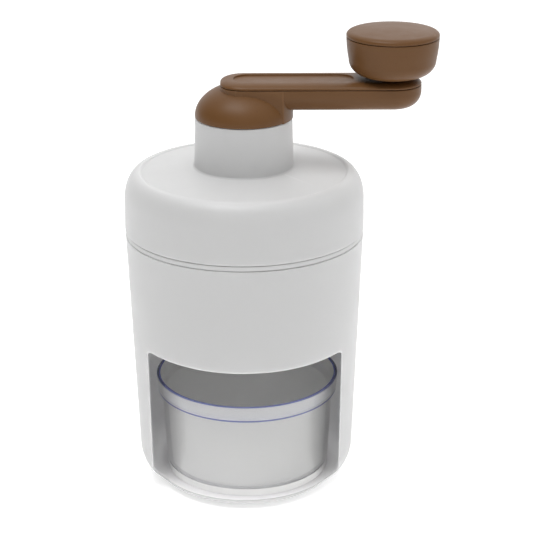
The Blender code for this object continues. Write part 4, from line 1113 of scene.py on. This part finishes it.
def screw(node, body, size, *place):
    """A cross-head screw: its head's underside is at 0, the head above and the shank below."""
    head_r, head, shank_r, length = size
    profile = filleted(
        [
            (0.0, head),
            (head_r * 0.55, head),
            (head_r * 0.9, head * 0.82, head * 0.2),
            (head_r, 0.0, 0.1),
            (shank_r, 0.0),
            (shank_r, 1.0 - length, 0.1),
            (0.0, -length),
        ],
        closed=False,
        steps=3,
    )
    half, reach, low = head_r * 0.13, head_r * 0.55, head * 0.35
    bars = (rectangle(-reach, reach, -half, half), rectangle(-half, half, -reach, reach))
    cuts = [("DIFFERENCE", prism(bar, low, head + PAST)) for bar in bars]
    bm = combined(turned(profile, 32), *cuts)
    make(f"{node}_cross", moved(bm, *place), body, "steel", node)


def make_small_pieces():
    slope = math.radians(-BLADE_SLOPE)
    y, z = BLADE_SCREW_Y, CLAMP_LOW - GAP
    seat_y = BLADE_EDGE_Y + y * math.cos(slope) - z * math.sin(slope)
    seat_z = BLADE_EDGE_Z + y * math.sin(slope) + z * math.cos(slope)
    for number, x in enumerate(BLADE_SCREW_X, 1):
        screw(f"blade_screw_{number}", "housing", BLADE_SCREW, x, seat_y, seat_z, UPSIDE_DOWN - BLADE_SLOPE)
    for number, angle in enumerate(LID_SCREW_ANGLES, 1):
        x, y = around(LID_SCREW_PLACE, angle)
        screw(f"lid_screw_{number}", "lid", LID_SCREW, x, y, INNER_DISC_LOW - GAP, UPSIDE_DOWN)
    for number, angle in enumerate(HUB_SCREW_ANGLES, 1):
        x, y = around(HUB_SCREW_PLACE, angle)
        screw(f"hub_screw_{number}", "crank", HUB_SCREW, x, y, SLEEVE_HEAD_LOW - GAP, UPSIDE_DOWN)
    screw("pusher_screw", "pusher", PUSHER_SCREW, 0.0, 0.0, PLATE_LOW - GAP, UPSIDE_DOWN)
    screw("pin_screw", "crank", PIN_SCREW, KNOB_X, 0.0, ARM_LOW + PIN_RECESS_DEPTH - GAP, UPSIDE_DOWN)
    screw("knob_screw", "crank", KNOB_SCREW, KNOB_X, 0.0, WASHER_TOP + GAP)
    washer = filleted(
        [
            (WASHER_HOLE_R, WASHER_LOW),
            (WASHER_R, WASHER_LOW, 0.2),
            (WASHER_R, WASHER_TOP, 0.2),
            (WASHER_HOLE_R, WASHER_TOP),
        ],
        steps=3,
    )
    make("knob_washer_turned", turned(washer, SMALL, KNOB_X), "crank", "steel", "knob_washer")
    pin = filleted(
        [
            (0.0, PIN_LOW),
            (PIN_FLANGE_R, PIN_LOW, 0.3),
            (PIN_FLANGE_R, PIN_FLANGE_TOP, 0.3),
            (PIN_R, PIN_FLANGE_TOP, 0.3),
            (PIN_R, PIN_TOP, 0.4),
            (0.0, PIN_TOP),
        ],
        closed=False,
        steps=4,
    )
    make("knob_pin_turned", turned(pin, SMALL, KNOB_X), "crank", "steel", "knob_pin")
    for node, slot in (("blade", "blade_steel"), ("blade_clamp", "steel"), ("retaining_ring", "steel")):
        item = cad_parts[node]
        item.data.materials.clear()
        item.data.materials.append(MATERIALS[slot])


# ------- studio


def make_floor():
    bm = bmesh.new()
    half = 4.0
    bm.faces.new([bm.verts.new((x, y, 0.0)) for x, y in rectangle(-half, half, -half, half)])
    floor = shape("floor", bm)
    material, tree, shader, place = new_material("floor")
    tone = mix(tree, noise(tree, place, 3.0, 3.0), (0.88, 0.88, 0.88, 1.0), (0.92, 0.92, 0.92, 1.0))
    glow = {"Emission Color": rgb(grey(1.0)), "Emission Strength": 0.38}
    feed(tree, shader, {"Base Color": tone, "Roughness": 0.8, **glow})
    floor.data.materials.append(material)


def make_light():
    """Soft light from all around, brighter from above, from behind and from the right."""
    world = bpy.data.worlds.new("studio")
    bpy.context.scene.world = world
    world.use_nodes = True
    tree = world.node_tree
    direction = add(tree, "SeparateXYZ", {0: add(tree, "TexCoord").outputs["Generated"]})
    behind = spread(tree, direction.outputs["Y"], 0.0, 1.0, 0.2, 0.9)
    above = spread(tree, direction.outputs["Z"], 0.0, 0.85, 0.3, 1.0)
    right = spread(tree, direction.outputs["X"], 0.0, 0.65, 0.0, 0.9)
    strength = maths(tree, "ADD", maths(tree, "ADD", behind, above), right)
    feed(tree, tree.nodes["Background"], {"Color": rgb(grey(1.0)), "Strength": strength})

    def area(name, size, energy, place, aim):
        lamp = bpy.data.lights.new(name, "AREA")
        lamp.shape = "RECTANGLE"
        lamp.size, lamp.size_y = size
        lamp.energy = energy
        item = linked(name, lamp)
        item.location = place
        item.rotation_euler = (Vector(aim) - Vector(place)).to_track_quat("-Z", "Y").to_euler()

    area("front_softbox", (0.8, 0.6), 8.0, (-0.25, -0.3, 1.25), (0.0, 0.0, 0.05))
    area("low_softbox", (1.2, 0.8), 2.0, (-0.1, -1.5, 0.75), (0.0, 0.0, 0.05))


def make_camera():
    """The camera looks along +Y from a little right of the axis, tipped down."""
    camera = bpy.data.cameras.new("camera")
    camera.sensor_width = 36.0
    camera.lens = 117.39
    camera.clip_start, camera.clip_end = 0.05, 20.0
    item = linked("camera", camera)
    pitch, roll = math.radians(90.0 - 20.57), math.radians(-0.195)
    place = Matrix.Translation((0.011, -0.8279, 0.4253))
    item.matrix_world = place @ Matrix.Rotation(pitch, 4, "X") @ Matrix.Rotation(roll, 4, "Z")
    bpy.context.scene.camera = item
    bpy.context.scene.view_settings.view_transform = "Standard"


make_body_shell()
make_base_pad()
make_hopper()
make_bowl()
make_lid_shell()
make_lid_seal()
make_inner_lid()
make_neck_bush()
make_crank_arm()
make_arm_cover()
make_drive_sleeve()
make_spring()
make_pusher()
make_knob()
make_small_pieces()
make_floor()
make_light()
make_camera()
